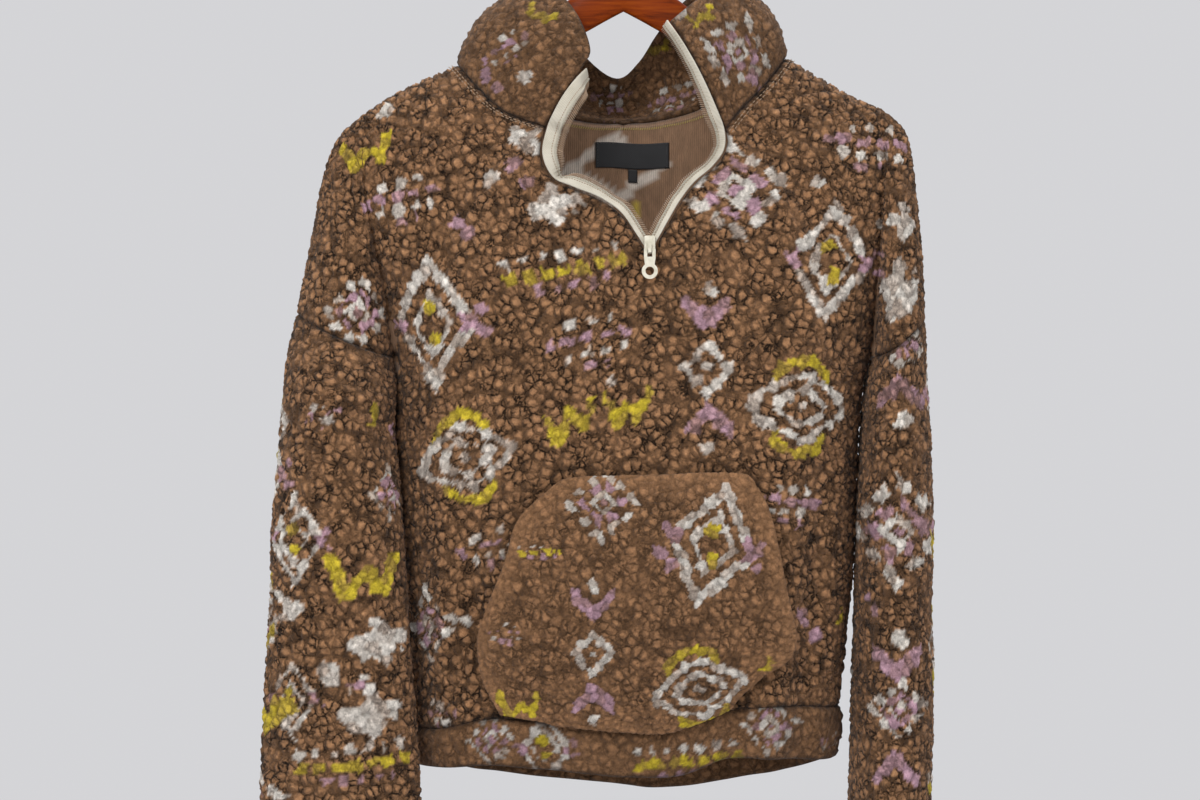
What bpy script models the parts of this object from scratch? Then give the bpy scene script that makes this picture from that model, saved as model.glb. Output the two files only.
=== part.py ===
"""A fleece quarter-zip sweater hanging on a wooden hanger, modelled as cut and sewn pieces.

Frame: the origin is the inner top of the hanger's hook, +Z is up, the garment's front faces -Y and
its wearer's right sleeve lies towards -X. Tables are in millimetres, and the finished meshes are in
metres. The cloth's outer face is worked out first, and each wall is that face moved in by its cloth.
"""

import math

import bmesh
import bpy
import numpy as np

MM = 0.001
LEFT, RIGHT = -1, 1
FRONT, BACK = -1, 1

# Thickness of the cloths, pile included, and the gap that sewn pieces keep to each other.
FLEECE_WALL = 5.0
DOUBLE_WALL = 7.0
SEAM_GAP = 0.3
# How far each sheet is drawn back from its seams: most where the cloth bends sharply at the seam.
DRAW_BACK = {
    "front": 0.2, "back": 0.2, "sleeve_left": 0.3, "sleeve_right": 0.3, "collar": 0.8, "hem_band": 0.2,
}
LAID_GAP = 0.9

# Rows and columns of the panels. The crease and the zip slit both end at row CREASE_ROWS.
TORSO_COLUMNS = 10
ARM_COLUMNS = 8
CREASE_ROWS = 11
LOWER_ROWS = 16
FRONT_NECK_ROWS = 4
BACK_NECK_ROWS = 6
SLEEVE_ROWS = 19
BAND_ROWS = 2
COLLAR_ROWS = 5

# The shoulder line from the neck point to the sleeve seam. Columns: x, z.
SHOULDER_LINE = {
    LEFT: (
        (-146, -153), (-194, -175), (-220, -192), (-242, -210), (-254, -228),
        (-262, -255), (-268, -286), (-274, -318), (-280, -349), (-284, -369),
    ),
    RIGHT: (
        (143, -147), (197, -179), (223, -191), (243, -208), (250, -228),
        (253, -255), (256, -286), (259, -318), (260, -349), (261, -374),
    ),
}
# The row of the shoulder line where the crease between arm and body starts.
CREASE_START = 2

# The crease between arm and body, from the shoulder to the underarm. Columns: x, z.
CREASE = {
    LEFT: ((-220, -192), (-224, -232), (-221, -272), (-214, -310), (-206, -352), (-199, -406)),
    RIGHT: ((223, -191), (223, -236), (221, -284), (219, -334), (216, -406)),
}
# The side seam from the underarm to the hem band. Columns: x, z.
SIDE_SEAM = {
    LEFT: (
        (-199, -406), (-200, -430), (-201, -455), (-200, -500), (-198, -549), (-193, -600), (-188, -653),
        (-185, -727),
    ),
    RIGHT: (
        (216, -406), (210.5, -427), (207.5, -454), (205.3, -488), (203.3, -549), (200.3, -601), (196, -640),
        (189, -709),
    ),
}
# How the armhole seam dips below the straight line from sleeve seam to underarm.
ARMHOLE_DIP = 4.0

# The front neck seam, the zip slit's edge and the centre line below it. Columns: x, z.
FRONT_NECK = {
    LEFT: ((-146, -153), (-125, -178), (-102, -199), (-67, -213)),
    RIGHT: ((143, -147), (124, -172), (102, -195), (87, -214)),
}
SLIT_EDGE = {
    LEFT: (
        (-67, -213), (-71, -232), (-66, -251), (-50, -262), (-21, -274), (-2, -288), (10, -306), (21, -323),
    ),
    RIGHT: (
        (87, -214), (88, -227), (80, -243), (63, -258), (50, -274), (38, -294), (28, -312), (21, -323),
    ),
}
FRONT_CENTRE = ((21, -323), (17, -430), (11, -560), (6, -719))
BACK_NECK = {
    LEFT: ((-146, -153), (-112, -174), (-66, -194), (-28, -202), (0, -203)),
    RIGHT: ((143, -147), (112, -168), (66, -191), (28, -201), (0, -203)),
}
BACK_CENTRE = ((0, -203), (2, -400), (4, -600), (4, -745))

# The hem band's top seam and lower edge. Columns: x, seam z, lower z.
FRONT_HEM = (
    (-185, -727, -762), (-156, -724, -759), (-110, -714, -755), (-38, -718, -761), (6, -719, -764),
    (48, -718, -763), (91, -707, -749), (138, -704, -750), (189, -709, -756),
)
BACK_HEM = (
    (-185, -727, -762), (-110, -738, -775), (-34, -744, -783), (4, -745, -787), (33, -746, -789),
    (87, -740, -783), (154, -724, -770), (189, -709, -756),
)
BAND_DRAW_IN = 0.975

# How far the body stands out from its middle plane. Columns: z, front, back.
BELLY = ((-150, 30, 26), (-200, 50, 42), (-300, 64, 52), (-412, 70, 58), (-560, 74, 62), (-760, 70, 60))
# The crease's floor, and the arm's swell beyond it. Columns: z, floor, left swell, right swell.
VALLEY = (
    (-191, 24, 8, 8), (-215, 31, 13, 13), (-240, 37, 18, 22), (-272, 38, 24, 34), (-310, 32, 32, 46),
    (-350, 20, 42, 58), (-396, 5, 52, 64), (-406, 0, 54, 64), (-800, 0, 54, 64),
)
# The roof over the hanger: a round edge of this radius, then a slope that eases out.
ROOF_EDGE = 12.0
ROOF_REACH = {FRONT: 78.0, BACK: 62.0}
ROOF_EASE = 105.0
NECK_RISE = 0.35
SIDE_ROUND = 92.0
SIDE_SLIM = 1.4

# Soft folds. Columns: x, z, half width, half length, depth (minus is a trough), lean.
FOLDS = {
    FRONT: (
        (-158, -330, 17, 62, -8, 0.32), (168, -322, 16, 64, -9, -0.26), (-128, -610, 15, 100, -9, -0.08),
        (-158, -640, 11, 80, 6, 0.05), (160, -620, 13, 120, -10, 0.08), (128, -700, 11, 60, 6, 0.06),
        (92, -735, 12, 40, -10, 0.05), (-62, -735, 14, 40, -7, -0.05), (-10, -745, 16, 40, 5, 0.00),
        (-98, -252, 18, 46, 7, 0.70), (118, -262, 17, 46, 7, -0.65), (-60, -330, 20, 60, -5, 0.55),
        (78, -400, 22, 96, -6, 0.22), (-44, -446, 24, 90, -6, -0.22), (150, -460, 16, 70, 5, 0.10),
        (-150, -500, 16, 80, 5, -0.10),
    ),
    BACK: (
        (-146, -340, 17, 76, -10, 0.26), (156, -350, 17, 80, -11, -0.22), (-62, -560, 20, 150, -9, 0.05),
        (50, -610, 18, 130, -11, -0.04), (-128, -650, 13, 96, -9, 0.00), (134, -640, 14, 104, -8, 0.06),
        (5, -290, 60, 34, 6, 0.00), (-6, -690, 17, 70, 6, 0.00), (96, -500, 18, 90, 5, -0.10),
        (-104, -470, 18, 90, 5, 0.10),
    ),
}
FOLD_FADE = 26.0

# Sleeves. Columns: z, outer x, inner x, middle y, half depth.
SLEEVE = {
    LEFT: (
        (-391, -287, -199, 0, 54), (-412, -289, -199.5, -12, 53), (-435, -291, -199, -26, 52),
        (-460, -293, -199, -32, 51), (-500, -296, -197, -36, 49), (-549, -299, -193, -41, 46),
        (-601, -301, -188, -45, 42),
        (-653, -304, -184, -49, 38), (-705, -306, -178, -52, 34), (-757, -308, -173, -54, 30),
        (-792, -310, -171, -55, 28), (-861, -307, -176, -56, 28),
    ),
    RIGHT: (
        (-388, 261, 216, 0, 64), (-427, 263, 213, -2, 66), (-488, 266, 208, -4, 65), (-549, 268, 206, -5, 64),
        (-601, 268, 203, -6, 63), (-653, 268, 200, -6, 62), (-705, 268, 197, -6, 61),
        (-757, 267, 196, -6, 60), (-792, 266, 195, -6, 60), (-861, 262, 196, -6, 57),
    ),
}
# Folds round a sleeve. Columns: z, angle in degrees, half length, half angle, depth.
SLEEVE_FOLDS = {
    LEFT: (
        (-455, 150, 26, 46, -5), (-560, 40, 34, 36, 4), (-640, 115, 30, 40, -5), (-735, 70, 26, 44, 4),
        (-600, 250, 50, 40, -6),
    ),
    RIGHT: (
        (-440, 60, 24, 40, -4), (-540, 120, 30, 44, 4), (-620, 50, 26, 40, -4), (-730, 110, 30, 44, -4),
        (-560, 270, 50, 44, -6),
    ),
}
SLANT_ROWS = 7

# The collar's top edge from the left zip end round the back to the right one. The place says which
# column of the neck seam it stands over. Columns: place, x, y, z, swell of the collar below it.
COLLAR_TOP = (
    (0.0, -33, -42, -160, 12), (0.8, -27, -38, -146, 13), (1.6, -33, -32, -124, 14), (2.4, -44, -25, -104, 15),
    (3.2, -59, -13, -88, 16), (4.2, -72, 6, -82, 17), (5.5, -69, 26, -92, 18), (7.0, -53, 42, -112, 22),
    (8.6, -31, 54, -139, 24), (10.0, -6, 60, -156, 24), (11.2, 12, 60, -143, 24), (12.6, 28, 56, -120, 22),
    (14.0, 46, 43, -98, 20), (15.2, 66, 25, -82, 18), (16.2, 81, 5, -77, 17), (17.5, 74, -13, -87, 16),
    (18.8, 57, -24, -102, 14), (20.0, 39, -31, -118, 12),
)

# The pocket's edges on the front. Columns: x, z.
POCKET_TOP = ((-60, -515), (-44, -509), (25, -506), (97, -505), (110, -514))
POCKET_BOTTOM = ((-104, -711), (-49, -721), (0, -726), (37, -726), (72, -714), (93, -701))
POCKET_LEFT = ((-60, -515), (-90, -544), (-101, -579), (-112, -620), (-120, -652), (-117, -680), (-104, -711))
POCKET_RIGHT = (
    (110, -514), (122, -534), (130, -570), (135, -605), (139, -646), (131, -668), (112, -684), (93, -701),
)
POCKET_GRID = 12
POCKET_SWELL = 15.0
POCKET_MOUTH = 7.0

# Zip tapes. Columns: share of the way down, width, turn of the tape from the cloth in degrees.
TAPE = {
    LEFT: (
        (0.0, 13.0, 20), (0.35, 13.0, 20), (0.55, 12.0, 24), (0.75, 8.0, 30), (0.9, 6.5, 20), (1.0, 4.4, 10),
    ),
    RIGHT: (
        (0.0, 8.0, 62), (0.35, 9.5, 62), (0.55, 10.0, 50), (0.75, 8.0, 40), (0.9, 6.5, 20), (1.0, 4.4, 10),
    ),
}
TAPE_THICK = 1.5
TAPE_SECTIONS = 30
TAPE_CLEAR = 1.3
TAPE_END_SHARE = 0.955

# The slider and its pull, about the pull's pivot. The pull hangs in front of the slider's body.
PIVOT = (21.6, -66.5, -317.0)
PULL_THICK = 1.5
PULL_RUN = 0.4
SLIDER_SIZE = (9.6, 4.6, 15.4)
SLIDER_TOP = 11.4
STRAP_WIDE = 2.6
STRAP_THICK = 1.2
STRAP_LOW = (-2.9, -1.3)
STRAP_HIGH = (3.1, 4.6)
# How far the strap's legs run into the slider and the strap, and the strap's lap past its legs.
STRAP_ROOT = 1.0
STRAP_TIP = 0.3
STRAP_LAP = 0.1
PULL_HALF_TOP = 4.9
PULL_WINDOW = (2.1, -0.75, -6.6)
PULL_NECK = (4.1, -11.0)
PULL_RING = (-18.6, 6.8, 3.7)

# Labels inside the back. Columns: middle x, middle z, width, height, gap to the back's inside.
LABELS = {"neck_label": (8.0, -228.0, 65.0, 22.0, 0.7), "size_label": (8.5, -245.0, 8.0, 11.0, 0.5)}
LABEL_THICK = 0.6

# The hanger's arms. Columns: distance from the middle, top z, bottom z.
ARM_PROFILE = (
    (0, -73, -107), (16, -78, -115.5), (33, -87, -125), (60, -106, -139), (100, -138, -158),
    (146, -169, -184), (178, -181, -195), (194, -186.5, -201), (207, -191.2, -205), (214, -197, -206),
)
ARM_THICK = 12.0
ARM_BOXY = 0.8
HOOK_WIRE = 2.2
HOOK_INNER = 17.0
HOOK_TURN = 215.0
HOOK_SINK = 14.0
HOOK_CLEAR = 0.3


def smooth_line(rows, steps=12):
    """A Catmull-Rom curve through the rows, as short chords."""
    rows = np.asarray(rows, float)
    ends = np.vstack([2 * rows[0] - rows[1], rows, 2 * rows[-1] - rows[-2]])
    share = np.linspace(0, 1, steps, endpoint=False)[:, None]
    spans = []
    for before, start, end, after in zip(ends, ends[1:], ends[2:], ends[3:]):
        spans.append(
            start
            + 0.5 * (end - before) * share
            + (before - 2.5 * start + 2 * end - 0.5 * after) * share**2
            + 0.5 * (3 * start - before - 3 * end + after) * share**3
        )
    return np.vstack(spans + [rows[-1:]])


def along(line, shares):
    """Points at the given shares of a line's length."""
    steps = np.linalg.norm(np.diff(line, axis=0), axis=1)
    reached = np.concatenate([[0], np.cumsum(steps)]) / steps.sum()
    return np.column_stack([np.interp(shares, reached, column) for column in line.T])


def evenly(rows, count):
    """count + 1 points evenly spaced on the curve through the rows."""
    return along(smooth_line(rows), np.linspace(0, 1, count + 1))


def column(table, at, index):
    """A table's column, read between its rows by the falling z of its first column."""
    rows = np.asarray(table, float)[::-1]
    return np.interp(at, rows[:, 0], rows[:, index])


def rounded(share):
    """The height of a quarter round at this share of the way in from its edge."""
    return np.sqrt(1 - (1 - np.clip(share, 0, 1)) ** 2)


def outline_x(line, z):
    """The x of a falling line at height z."""
    curve = smooth_line(line)[::-1]
    return np.interp(z, curve[:, 1], curve[:, 0])


def crease_x(side, z):
    """The x where the body ends: the crease above the underarm, and the side seam below it."""
    return outline_x(CREASE[side] + SIDE_SEAM[side][1:], z)


def roof_z(x):
    """The height of the shoulder line over x, carried on across the open neck."""
    heights = []
    for side in (LEFT, RIGHT):
        curve = smooth_line(SHOULDER_LINE[side])
        reach = np.abs(curve[:, 0])
        across = np.interp(np.abs(x), reach, curve[:, 1])
        neck = curve[0, 1] + NECK_RISE * np.clip(reach[0] - np.abs(x), 0, None)
        heights.append(np.where(np.abs(x) < reach[0], neck, across))
    return np.where(x < 0, heights[0], heights[1])


def fold_height(face, x, z):
    """The soft folds' part of the depth."""
    total = np.zeros(np.broadcast(x, z).shape)
    for at_x, at_z, wide, long, depth, lean in FOLDS[face]:
        off = (x - at_x - lean * (z - at_z)) / wide
        total = total + depth * np.exp(-(off**2) - ((z - at_z) / long) ** 2)
    return total


def depth(face, x, z):
    """How far a face of the body stands out from the middle plane at x, z."""
    x, z = np.broadcast_arrays(np.asarray(x, float), np.asarray(z, float))
    below = np.clip(roof_z(x) - z, 0, None)
    roof = ROOF_EDGE * rounded(below / ROOF_EDGE) + ROOF_REACH[face] * (1 - np.exp(-below / ROOF_EASE))
    side_depth = np.zeros(x.shape)
    fade = np.zeros(x.shape)
    floor = column(VALLEY, z, 1)
    belly = column(BELLY, z, 1 if face == FRONT else 2)
    for side in (LEFT, RIGHT):
        here = (x < 0) if side == LEFT else (x >= 0)
        crease = np.abs(crease_x(side, z))
        edge = np.maximum(np.abs(outline_x(SHOULDER_LINE[side], z)), crease + 1e-6)
        inside = crease - np.abs(x)
        body = floor + (belly - floor) * rounded(inside / SIDE_ROUND) ** SIDE_SLIM
        out = np.clip(-inside / (edge - crease), 0, 1)
        swell = column(VALLEY, z, 2 if side == LEFT else 3)
        arm = floor * (1 - out) + swell * np.sqrt(np.clip(1 - (2 * out - 1) ** 2, 0, 1))
        side_depth = np.where(here, np.where(inside >= 0, body, arm), side_depth)
        fade = np.where(here, np.clip(inside / FOLD_FADE, 0, 1), fade)
    stands = roof * side_depth / np.maximum((roof**4 + side_depth**4) ** 0.25, 1e-6)
    return stands + fold_height(face, x, z) * fade * np.clip(below / FOLD_FADE, 0, 1)


def on_face(face, flat):
    """Points in x, z lifted onto a face of the body."""
    flat = np.asarray(flat, float)
    x, z = flat[..., 0], flat[..., 1]
    return np.stack([x, face * depth(face, x, z), z], axis=-1)


def face_normal(face, flat):
    """The outward direction of a face of the body."""
    step = 1.5
    flat = np.asarray(flat, float)
    run_x = on_face(face, flat + (step, 0)) - on_face(face, flat - (step, 0))
    run_z = on_face(face, flat + (0, step)) - on_face(face, flat - (0, step))
    out = np.cross(run_x, run_z) * -face
    return out / np.linalg.norm(out, axis=-1, keepdims=True)


def coons(inner, outer, top, bottom):
    """A patch between two falling edges and two crossing ones, as rows of points."""
    rows, columns = len(inner), len(top)
    down = np.linspace(0, 1, rows)[:, None, None]
    across = column_shares(columns - 1)[None, :, None]
    sides = (1 - across) * inner[:, None] + across * outer[:, None]
    ends = (1 - down) * top[None] + down * bottom[None]
    corners = (
        (1 - down) * (1 - across) * top[0]
        + (1 - down) * across * top[-1]
        + down * (1 - across) * bottom[0]
        + down * across * bottom[-1]
    )
    return sides + ends - corners


def column_shares(count):
    """Columns that stand closer together towards the body's side."""
    even = np.linspace(0, 1, count + 1)
    return 0.5 * even + 0.5 * np.sin(even * math.pi / 2)


def hem_line(face, side):
    """The hem seam's x, z from the centre to the side."""
    rows = np.asarray(FRONT_HEM if face == FRONT else BACK_HEM, float)[:, :2]
    centre = FRONT_CENTRE[-1] if face == FRONT else BACK_CENTRE[-1]
    line = smooth_line(rows)
    keep = line[:, 0] * side >= centre[0] * side
    line = line[keep]
    return line[::-1] if side == LEFT else line


def crease_points(side):
    """The crease's points, closer together at the shoulder, where the roof is round."""
    return along(smooth_line(CREASE[side]), np.linspace(0, 1, CREASE_ROWS + 1) ** 1.3)


def torso_patch(face, side):
    """Rows of x, z on one half of the front or back, inside the crease."""
    rows = CREASE_ROWS + LOWER_ROWS
    outer = np.vstack([crease_points(side), evenly(SIDE_SEAM[side], LOWER_ROWS)[1:]])
    if face == FRONT:
        neck = evenly(FRONT_NECK[side], FRONT_NECK_ROWS)
        slit = evenly(SLIT_EDGE[side], CREASE_ROWS - FRONT_NECK_ROWS)[1:]
        inner = np.vstack([neck, slit, evenly(FRONT_CENTRE, LOWER_ROWS)[1:]])
    else:
        neck = evenly(BACK_NECK[side], BACK_NECK_ROWS)
        inner = np.vstack([neck, evenly(BACK_CENTRE, rows - BACK_NECK_ROWS)[1:]])
    shares = column_shares(TORSO_COLUMNS)
    top = along(smooth_line(SHOULDER_LINE[side][: CREASE_START + 1]), shares)
    bottom = along(hem_line(face, side), shares)
    bottom[0], bottom[-1] = inner[-1], outer[-1]
    return coons(inner, outer, top, bottom)


def arm_patch(side):
    """Rows of x, z on the dropped shoulder, from the crease out to the shoulder line."""
    crease = crease_points(side)
    edge = evenly(SHOULDER_LINE[side][CREASE_START:], CREASE_ROWS)
    turn = np.linspace(0, math.pi, ARM_COLUMNS + 1)
    out = ((1 - np.cos(turn)) / 2)[None, :, None]
    rows = crease[:, None] * (1 - out) + edge[:, None] * out
    dip = ARMHOLE_DIP * np.sin(turn) * np.linspace(0, 1, CREASE_ROWS + 1)[:, None] ** 3
    rows[..., 1] -= dip
    return rows


def grid_faces(rows, columns, flip=False):
    """Four-sided faces of a grid of points kept row by row."""
    faces = []
    for row in range(rows):
        for place in range(columns):
            a = row * (columns + 1) + place
            face = (a, a + 1, a + columns + 2, a + columns + 1)
            faces.append(face[::-1] if flip else face)
    return faces


def joined(grids):
    """Grids of points as one sheet: their points in one list, doubles merged, and their faces."""
    points, faces, start = [], [], 0
    for grid, flip in grids:
        rows, columns = grid.shape[0] - 1, grid.shape[1] - 1
        points.append(grid.reshape(-1, 3))
        faces += [tuple(start + i for i in face) for face in grid_faces(rows, columns, flip)]
        start += grid.shape[0] * grid.shape[1]
    return merged(np.vstack(points), faces)


def merged(points, faces):
    """The same sheet with points at one place made one, and faces that vanish dropped."""
    _, first, index = np.unique(np.round(points, 3), axis=0, return_index=True, return_inverse=True)
    index = index.reshape(-1)
    kept = []
    for face in faces:
        ring = []
        for corner in (index[i] for i in face):
            if not ring or (corner != ring[-1] and corner != ring[0]):
                ring.append(int(corner))
        if len(ring) > 2:
            kept.append(tuple(ring))
    return points[first], kept


def body_sheet(face):
    """The front or the back: both halves, with their dropped shoulders."""
    grids = []
    for side in (LEFT, RIGHT):
        grids.append((on_face(face, torso_patch(face, side)), side * face < 0))
        grids.append((on_face(face, arm_patch(side)), side * face < 0))
    return joined(grids)


def sleeve_grid(side):
    """Rings from the armhole to the sleeve's end."""
    seam = arm_patch(side)[-1]
    front, back = on_face(FRONT, seam), on_face(BACK, seam)
    armhole = np.vstack([front[::-1], back[1:]])
    turn = np.linspace(0, 2 * math.pi, 2 * ARM_COLUMNS + 1)
    table = np.asarray(SLEEVE[side], float)
    lengths = evenly(table[:, :1] * (1, 0) + (0, 1), SLEEVE_ROWS)[:, 0]
    slant = (armhole[0, 2] - armhole[ARM_COLUMNS, 2]) / 2
    rings = [armhole]
    for row in range(1, SLEEVE_ROWS + 1):
        z = lengths[row]
        outer, inner, middle, half = (column(table, z, i) for i in range(1, 5))
        swell = sleeve_fold(side, z, turn)
        half_wide = abs(outer - inner) / 2 + swell
        x = (outer + inner) / 2 + side * half_wide * np.cos(turn)
        y = middle - (half + swell) * np.sin(turn)
        ease = max(0.0, 1 - row / SLANT_ROWS)
        rings.append(np.column_stack([x, y, z + slant * ease * np.cos(turn)]))
    grid = np.array(rings)
    grid[:, -1] = grid[:, 0]
    return grid


def sleeve_fold(side, z, turn):
    """The folds' part of a sleeve's radius at each angle."""
    total = np.zeros_like(turn)
    for at_z, at_turn, long, wide, height in SLEEVE_FOLDS[side]:
        off = (np.degrees(turn) - at_turn + 180) % 360 - 180
        total += height * np.exp(-((off / wide) ** 2) - ((z - at_z) / long) ** 2)
    return total


def hem_ring():
    """The body's lower edge, once round: across the front and back along the back."""
    front = np.vstack([torso_patch(FRONT, LEFT)[-1][::-1], torso_patch(FRONT, RIGHT)[-1][1:]])
    back = np.vstack([torso_patch(BACK, RIGHT)[-1][::-1], torso_patch(BACK, LEFT)[-1][1:]])
    return np.vstack([on_face(FRONT, front), on_face(BACK, back)[1:]])


def band_grid():
    """Rings of the hem band, from its seam to its lower edge."""
    seam = hem_ring()
    is_front = np.arange(len(seam)) <= 2 * TORSO_COLUMNS
    lower = seam * (BAND_DRAW_IN, BAND_DRAW_IN, 1)
    for rows, mask in ((FRONT_HEM, is_front), (BACK_HEM, ~is_front)):
        line = smooth_line(rows)
        lower[mask, 2] = np.interp(seam[mask, 0], line[:, 0], line[:, 2])
    rings = []
    for share in np.linspace(0, 1, BAND_ROWS + 1):
        ring = seam * (1 - share) + lower * share
        swell = 1 + 0.02 * math.sin(math.pi * share)
        rings.append(ring * (swell, swell, 1))
    grid = np.array(rings)
    grid[:, -1] = grid[:, 0]
    return grid


def collar_base():
    """The neck seam from the left zip edge round the back to the right one."""
    front_left = on_face(FRONT, torso_patch(FRONT, LEFT)[: FRONT_NECK_ROWS + 1, 0])[::-1]
    back_left = on_face(BACK, torso_patch(BACK, LEFT)[: BACK_NECK_ROWS + 1, 0])
    back_right = on_face(BACK, torso_patch(BACK, RIGHT)[: BACK_NECK_ROWS + 1, 0])[::-1]
    front_right = on_face(FRONT, torso_patch(FRONT, RIGHT)[: FRONT_NECK_ROWS + 1, 0])
    return np.vstack([front_left, back_left[1:], back_right[1:], front_right[1:]])


def collar_grid():
    """Rows from the collar's top edge down to the neck seam."""
    base = collar_base()
    count = len(base) - 1
    line = smooth_line(COLLAR_TOP)
    top = np.column_stack([np.interp(np.arange(count + 1), line[:, 0], values) for values in line[:, 1:4].T])
    swell = np.interp(np.arange(count + 1), line[:, 0], line[:, 4])
    run = np.gradient(base, axis=0)
    rise = top - base
    out = np.cross(rise, run)
    out /= np.linalg.norm(out, axis=1, keepdims=True)
    grid = []
    for share in np.linspace(1, 0, COLLAR_ROWS + 1):
        belly = (4 * share * (1 - share)) * swell[:, None] * out
        grid.append(base + rise * share + belly)
    return np.array(grid)


def vertex_normals(points, faces):
    """The outward direction at each point, from the faces round it."""
    normals = np.zeros_like(points)
    for face in faces:
        corners = points[list(face)]
        normal = np.cross(corners[1] - corners[0], corners[2] - corners[0])
        if len(face) == 4:
            normal = np.cross(corners[2] - corners[0], corners[3] - corners[1])
        for corner in face:
            normals[corner] += normal
    return normals / np.linalg.norm(normals, axis=1, keepdims=True)


def sewn_normals(sheets):
    """Each sheet's directions, worked out with all sheets joined, so that seams agree."""
    points, faces, start = [], [], 0
    for sheet_points, sheet_faces in sheets:
        points.append(sheet_points)
        faces += [tuple(start + i for i in face) for face in sheet_faces]
        start += len(sheet_points)
    points = np.vstack(points)
    keys, index = np.unique(np.round(points, 2), axis=0, return_inverse=True)
    index = index.reshape(-1)
    normals = vertex_normals(keys, [tuple(index[i] for i in face) for face in faces])[index]
    sizes = np.cumsum([len(sheet_points) for sheet_points, _ in sheets])[:-1]
    return np.split(normals, sizes)


def edge_turns(points, faces):
    """The sheet's open edges, and at each point on them the direction into the sheet."""
    count = {}
    for face in faces:
        for a, b in zip(face, face[1:] + face[:1]):
            count[(a, b)] = face
    edges = [(a, b) for (a, b) in count if (b, a) not in count]
    inward = np.zeros_like(points)
    for a, b in edges:
        face = count[(a, b)]
        corners = points[list(face)]
        normal = np.cross(corners[1] - corners[0], corners[-1] - corners[0])
        step = np.cross(normal, points[b] - points[a])
        step /= np.linalg.norm(step)
        inward[a] += step
        inward[b] += step
    lengths = np.linalg.norm(inward, axis=1, keepdims=True)
    return edges, np.divide(inward, lengths, out=np.zeros_like(inward), where=lengths > 0)


def wall(name, sheet, normals, thick, material, half=0):
    """A closed wall whose outer face is the sheet, drawn back a little from its open edges.

    half is FRONT or BACK where the wall has to stay on its own side of the middle plane.
    """
    points, faces = sheet
    edges, inward = edge_turns(points, faces)
    outer = points + inward * DRAW_BACK.get(name, SEAM_GAP / 2)
    inner = outer - normals * thick
    if half:
        outer[:, 1] = half * np.maximum(half * outer[:, 1], SEAM_GAP / 2)
        inner[:, 1] = half * np.maximum(half * inner[:, 1], SEAM_GAP / 2)
    size = len(points)
    solid_faces = list(faces)
    solid_faces += [tuple(size + i for i in face[::-1]) for face in faces]
    for a, b in edges:
        # Both pieces at a seam split its rim the same way, so that their faces follow each other.
        if tuple(np.round(points[a], 2)) < tuple(np.round(points[b], 2)):
            solid_faces += [(b, a, size + b), (a, size + a, size + b)]
        else:
            solid_faces += [(b, a, size + a), (b, size + a, size + b)]
    return mesh_object(name, np.vstack([outer, inner]), solid_faces, material)


def mesh_object(name, points, faces, material):
    """A named mesh object from points in millimetres, smooth but at sharp edges."""
    mesh = bpy.data.meshes.new(name)
    mesh.from_pydata((np.asarray(points) * MM).tolist(), [], [tuple(map(int, face)) for face in faces])
    mesh.validate()
    work = bmesh.new()
    work.from_mesh(mesh)
    bmesh.ops.recalc_face_normals(work, faces=work.faces)
    work.to_mesh(mesh)
    work.free()
    mesh.shade_smooth()
    mesh.set_sharp_from_angle(angle=math.radians(50))
    thing = bpy.data.objects.new(name, mesh)
    thing.data.materials.append(material)
    bpy.context.scene.collection.objects.link(thing)
    return thing


def finish(name, colour, roughness, metallic=0.0):
    """A plain surface of one colour."""
    material = bpy.data.materials.new(name)
    material.use_nodes = True
    shader = material.node_tree.nodes["Principled BSDF"]
    shader.inputs["Base Color"].default_value = (*colour, 1)
    shader.inputs["Roughness"].default_value = roughness
    shader.inputs["Metallic"].default_value = metallic
    return material


def build_cloth(fleece):
    """Front, back, sleeves, collar and hem band. At the underarm the cloth turns straight down."""
    sheets = {
        "front": (body_sheet(FRONT), FLEECE_WALL),
        "back": (body_sheet(BACK), FLEECE_WALL),
        "sleeve_left": (joined([(sleeve_grid(LEFT), True)]), FLEECE_WALL),
        "sleeve_right": (joined([(sleeve_grid(RIGHT), False)]), FLEECE_WALL),
        "collar": (joined([(collar_grid(), False)]), DOUBLE_WALL),
        "hem_band": (joined([(band_grid(), True)]), DOUBLE_WALL),
    }
    normals = sewn_normals([sheet for sheet, _ in sheets.values()])
    for side in (LEFT, RIGHT):
        underarm = np.array([CREASE[side][-1][0], 0, CREASE[side][-1][1]], float)
        for (sheet, _), directions in zip(sheets.values(), normals):
            directions[np.linalg.norm(sheet[0] - underarm, axis=1) < SEAM_GAP] = (0, 0, -1)
    halves = {"front": FRONT, "back": BACK}
    for (name, (sheet, thick)), directions in zip(sheets.items(), normals):
        wall(name, sheet, directions, thick, fleece, halves.get(name, 0))


def pocket_grid():
    """The pocket's outer face: the front's points, moved out and swelled."""
    edges = [evenly(rows, POCKET_GRID) for rows in (POCKET_LEFT, POCKET_RIGHT, POCKET_TOP, POCKET_BOTTOM)]
    left, right, top, bottom = edges
    down = np.linspace(0, 1, POCKET_GRID + 1)[:, None, None]
    across = np.linspace(0, 1, POCKET_GRID + 1)[None, :, None]
    flat = (1 - across) * left[:, None] + across * right[:, None]
    flat = flat + (1 - down) * top[None] + down * bottom[None]
    flat = flat - (1 - down) * ((1 - across) * top[0] + across * top[-1])
    flat = flat - down * ((1 - across) * bottom[0] + across * bottom[-1])
    fall = np.sin(math.pi * down[..., 0]) ** 0.6
    reach = np.sin(math.pi * across[..., 0]) ** 0.7
    lift = LAID_GAP + FLEECE_WALL + fall * (POCKET_MOUTH + POCKET_SWELL * reach)
    return on_face(FRONT, flat) + face_normal(FRONT, flat) * lift[..., None]


def build_pocket(fleece):
    """The kangaroo pocket, seated along its top and bottom and open at its sides."""
    sheet = joined([(pocket_grid(), True)])
    wall("pocket", sheet, vertex_normals(*sheet), FLEECE_WALL, fleece)


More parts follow.
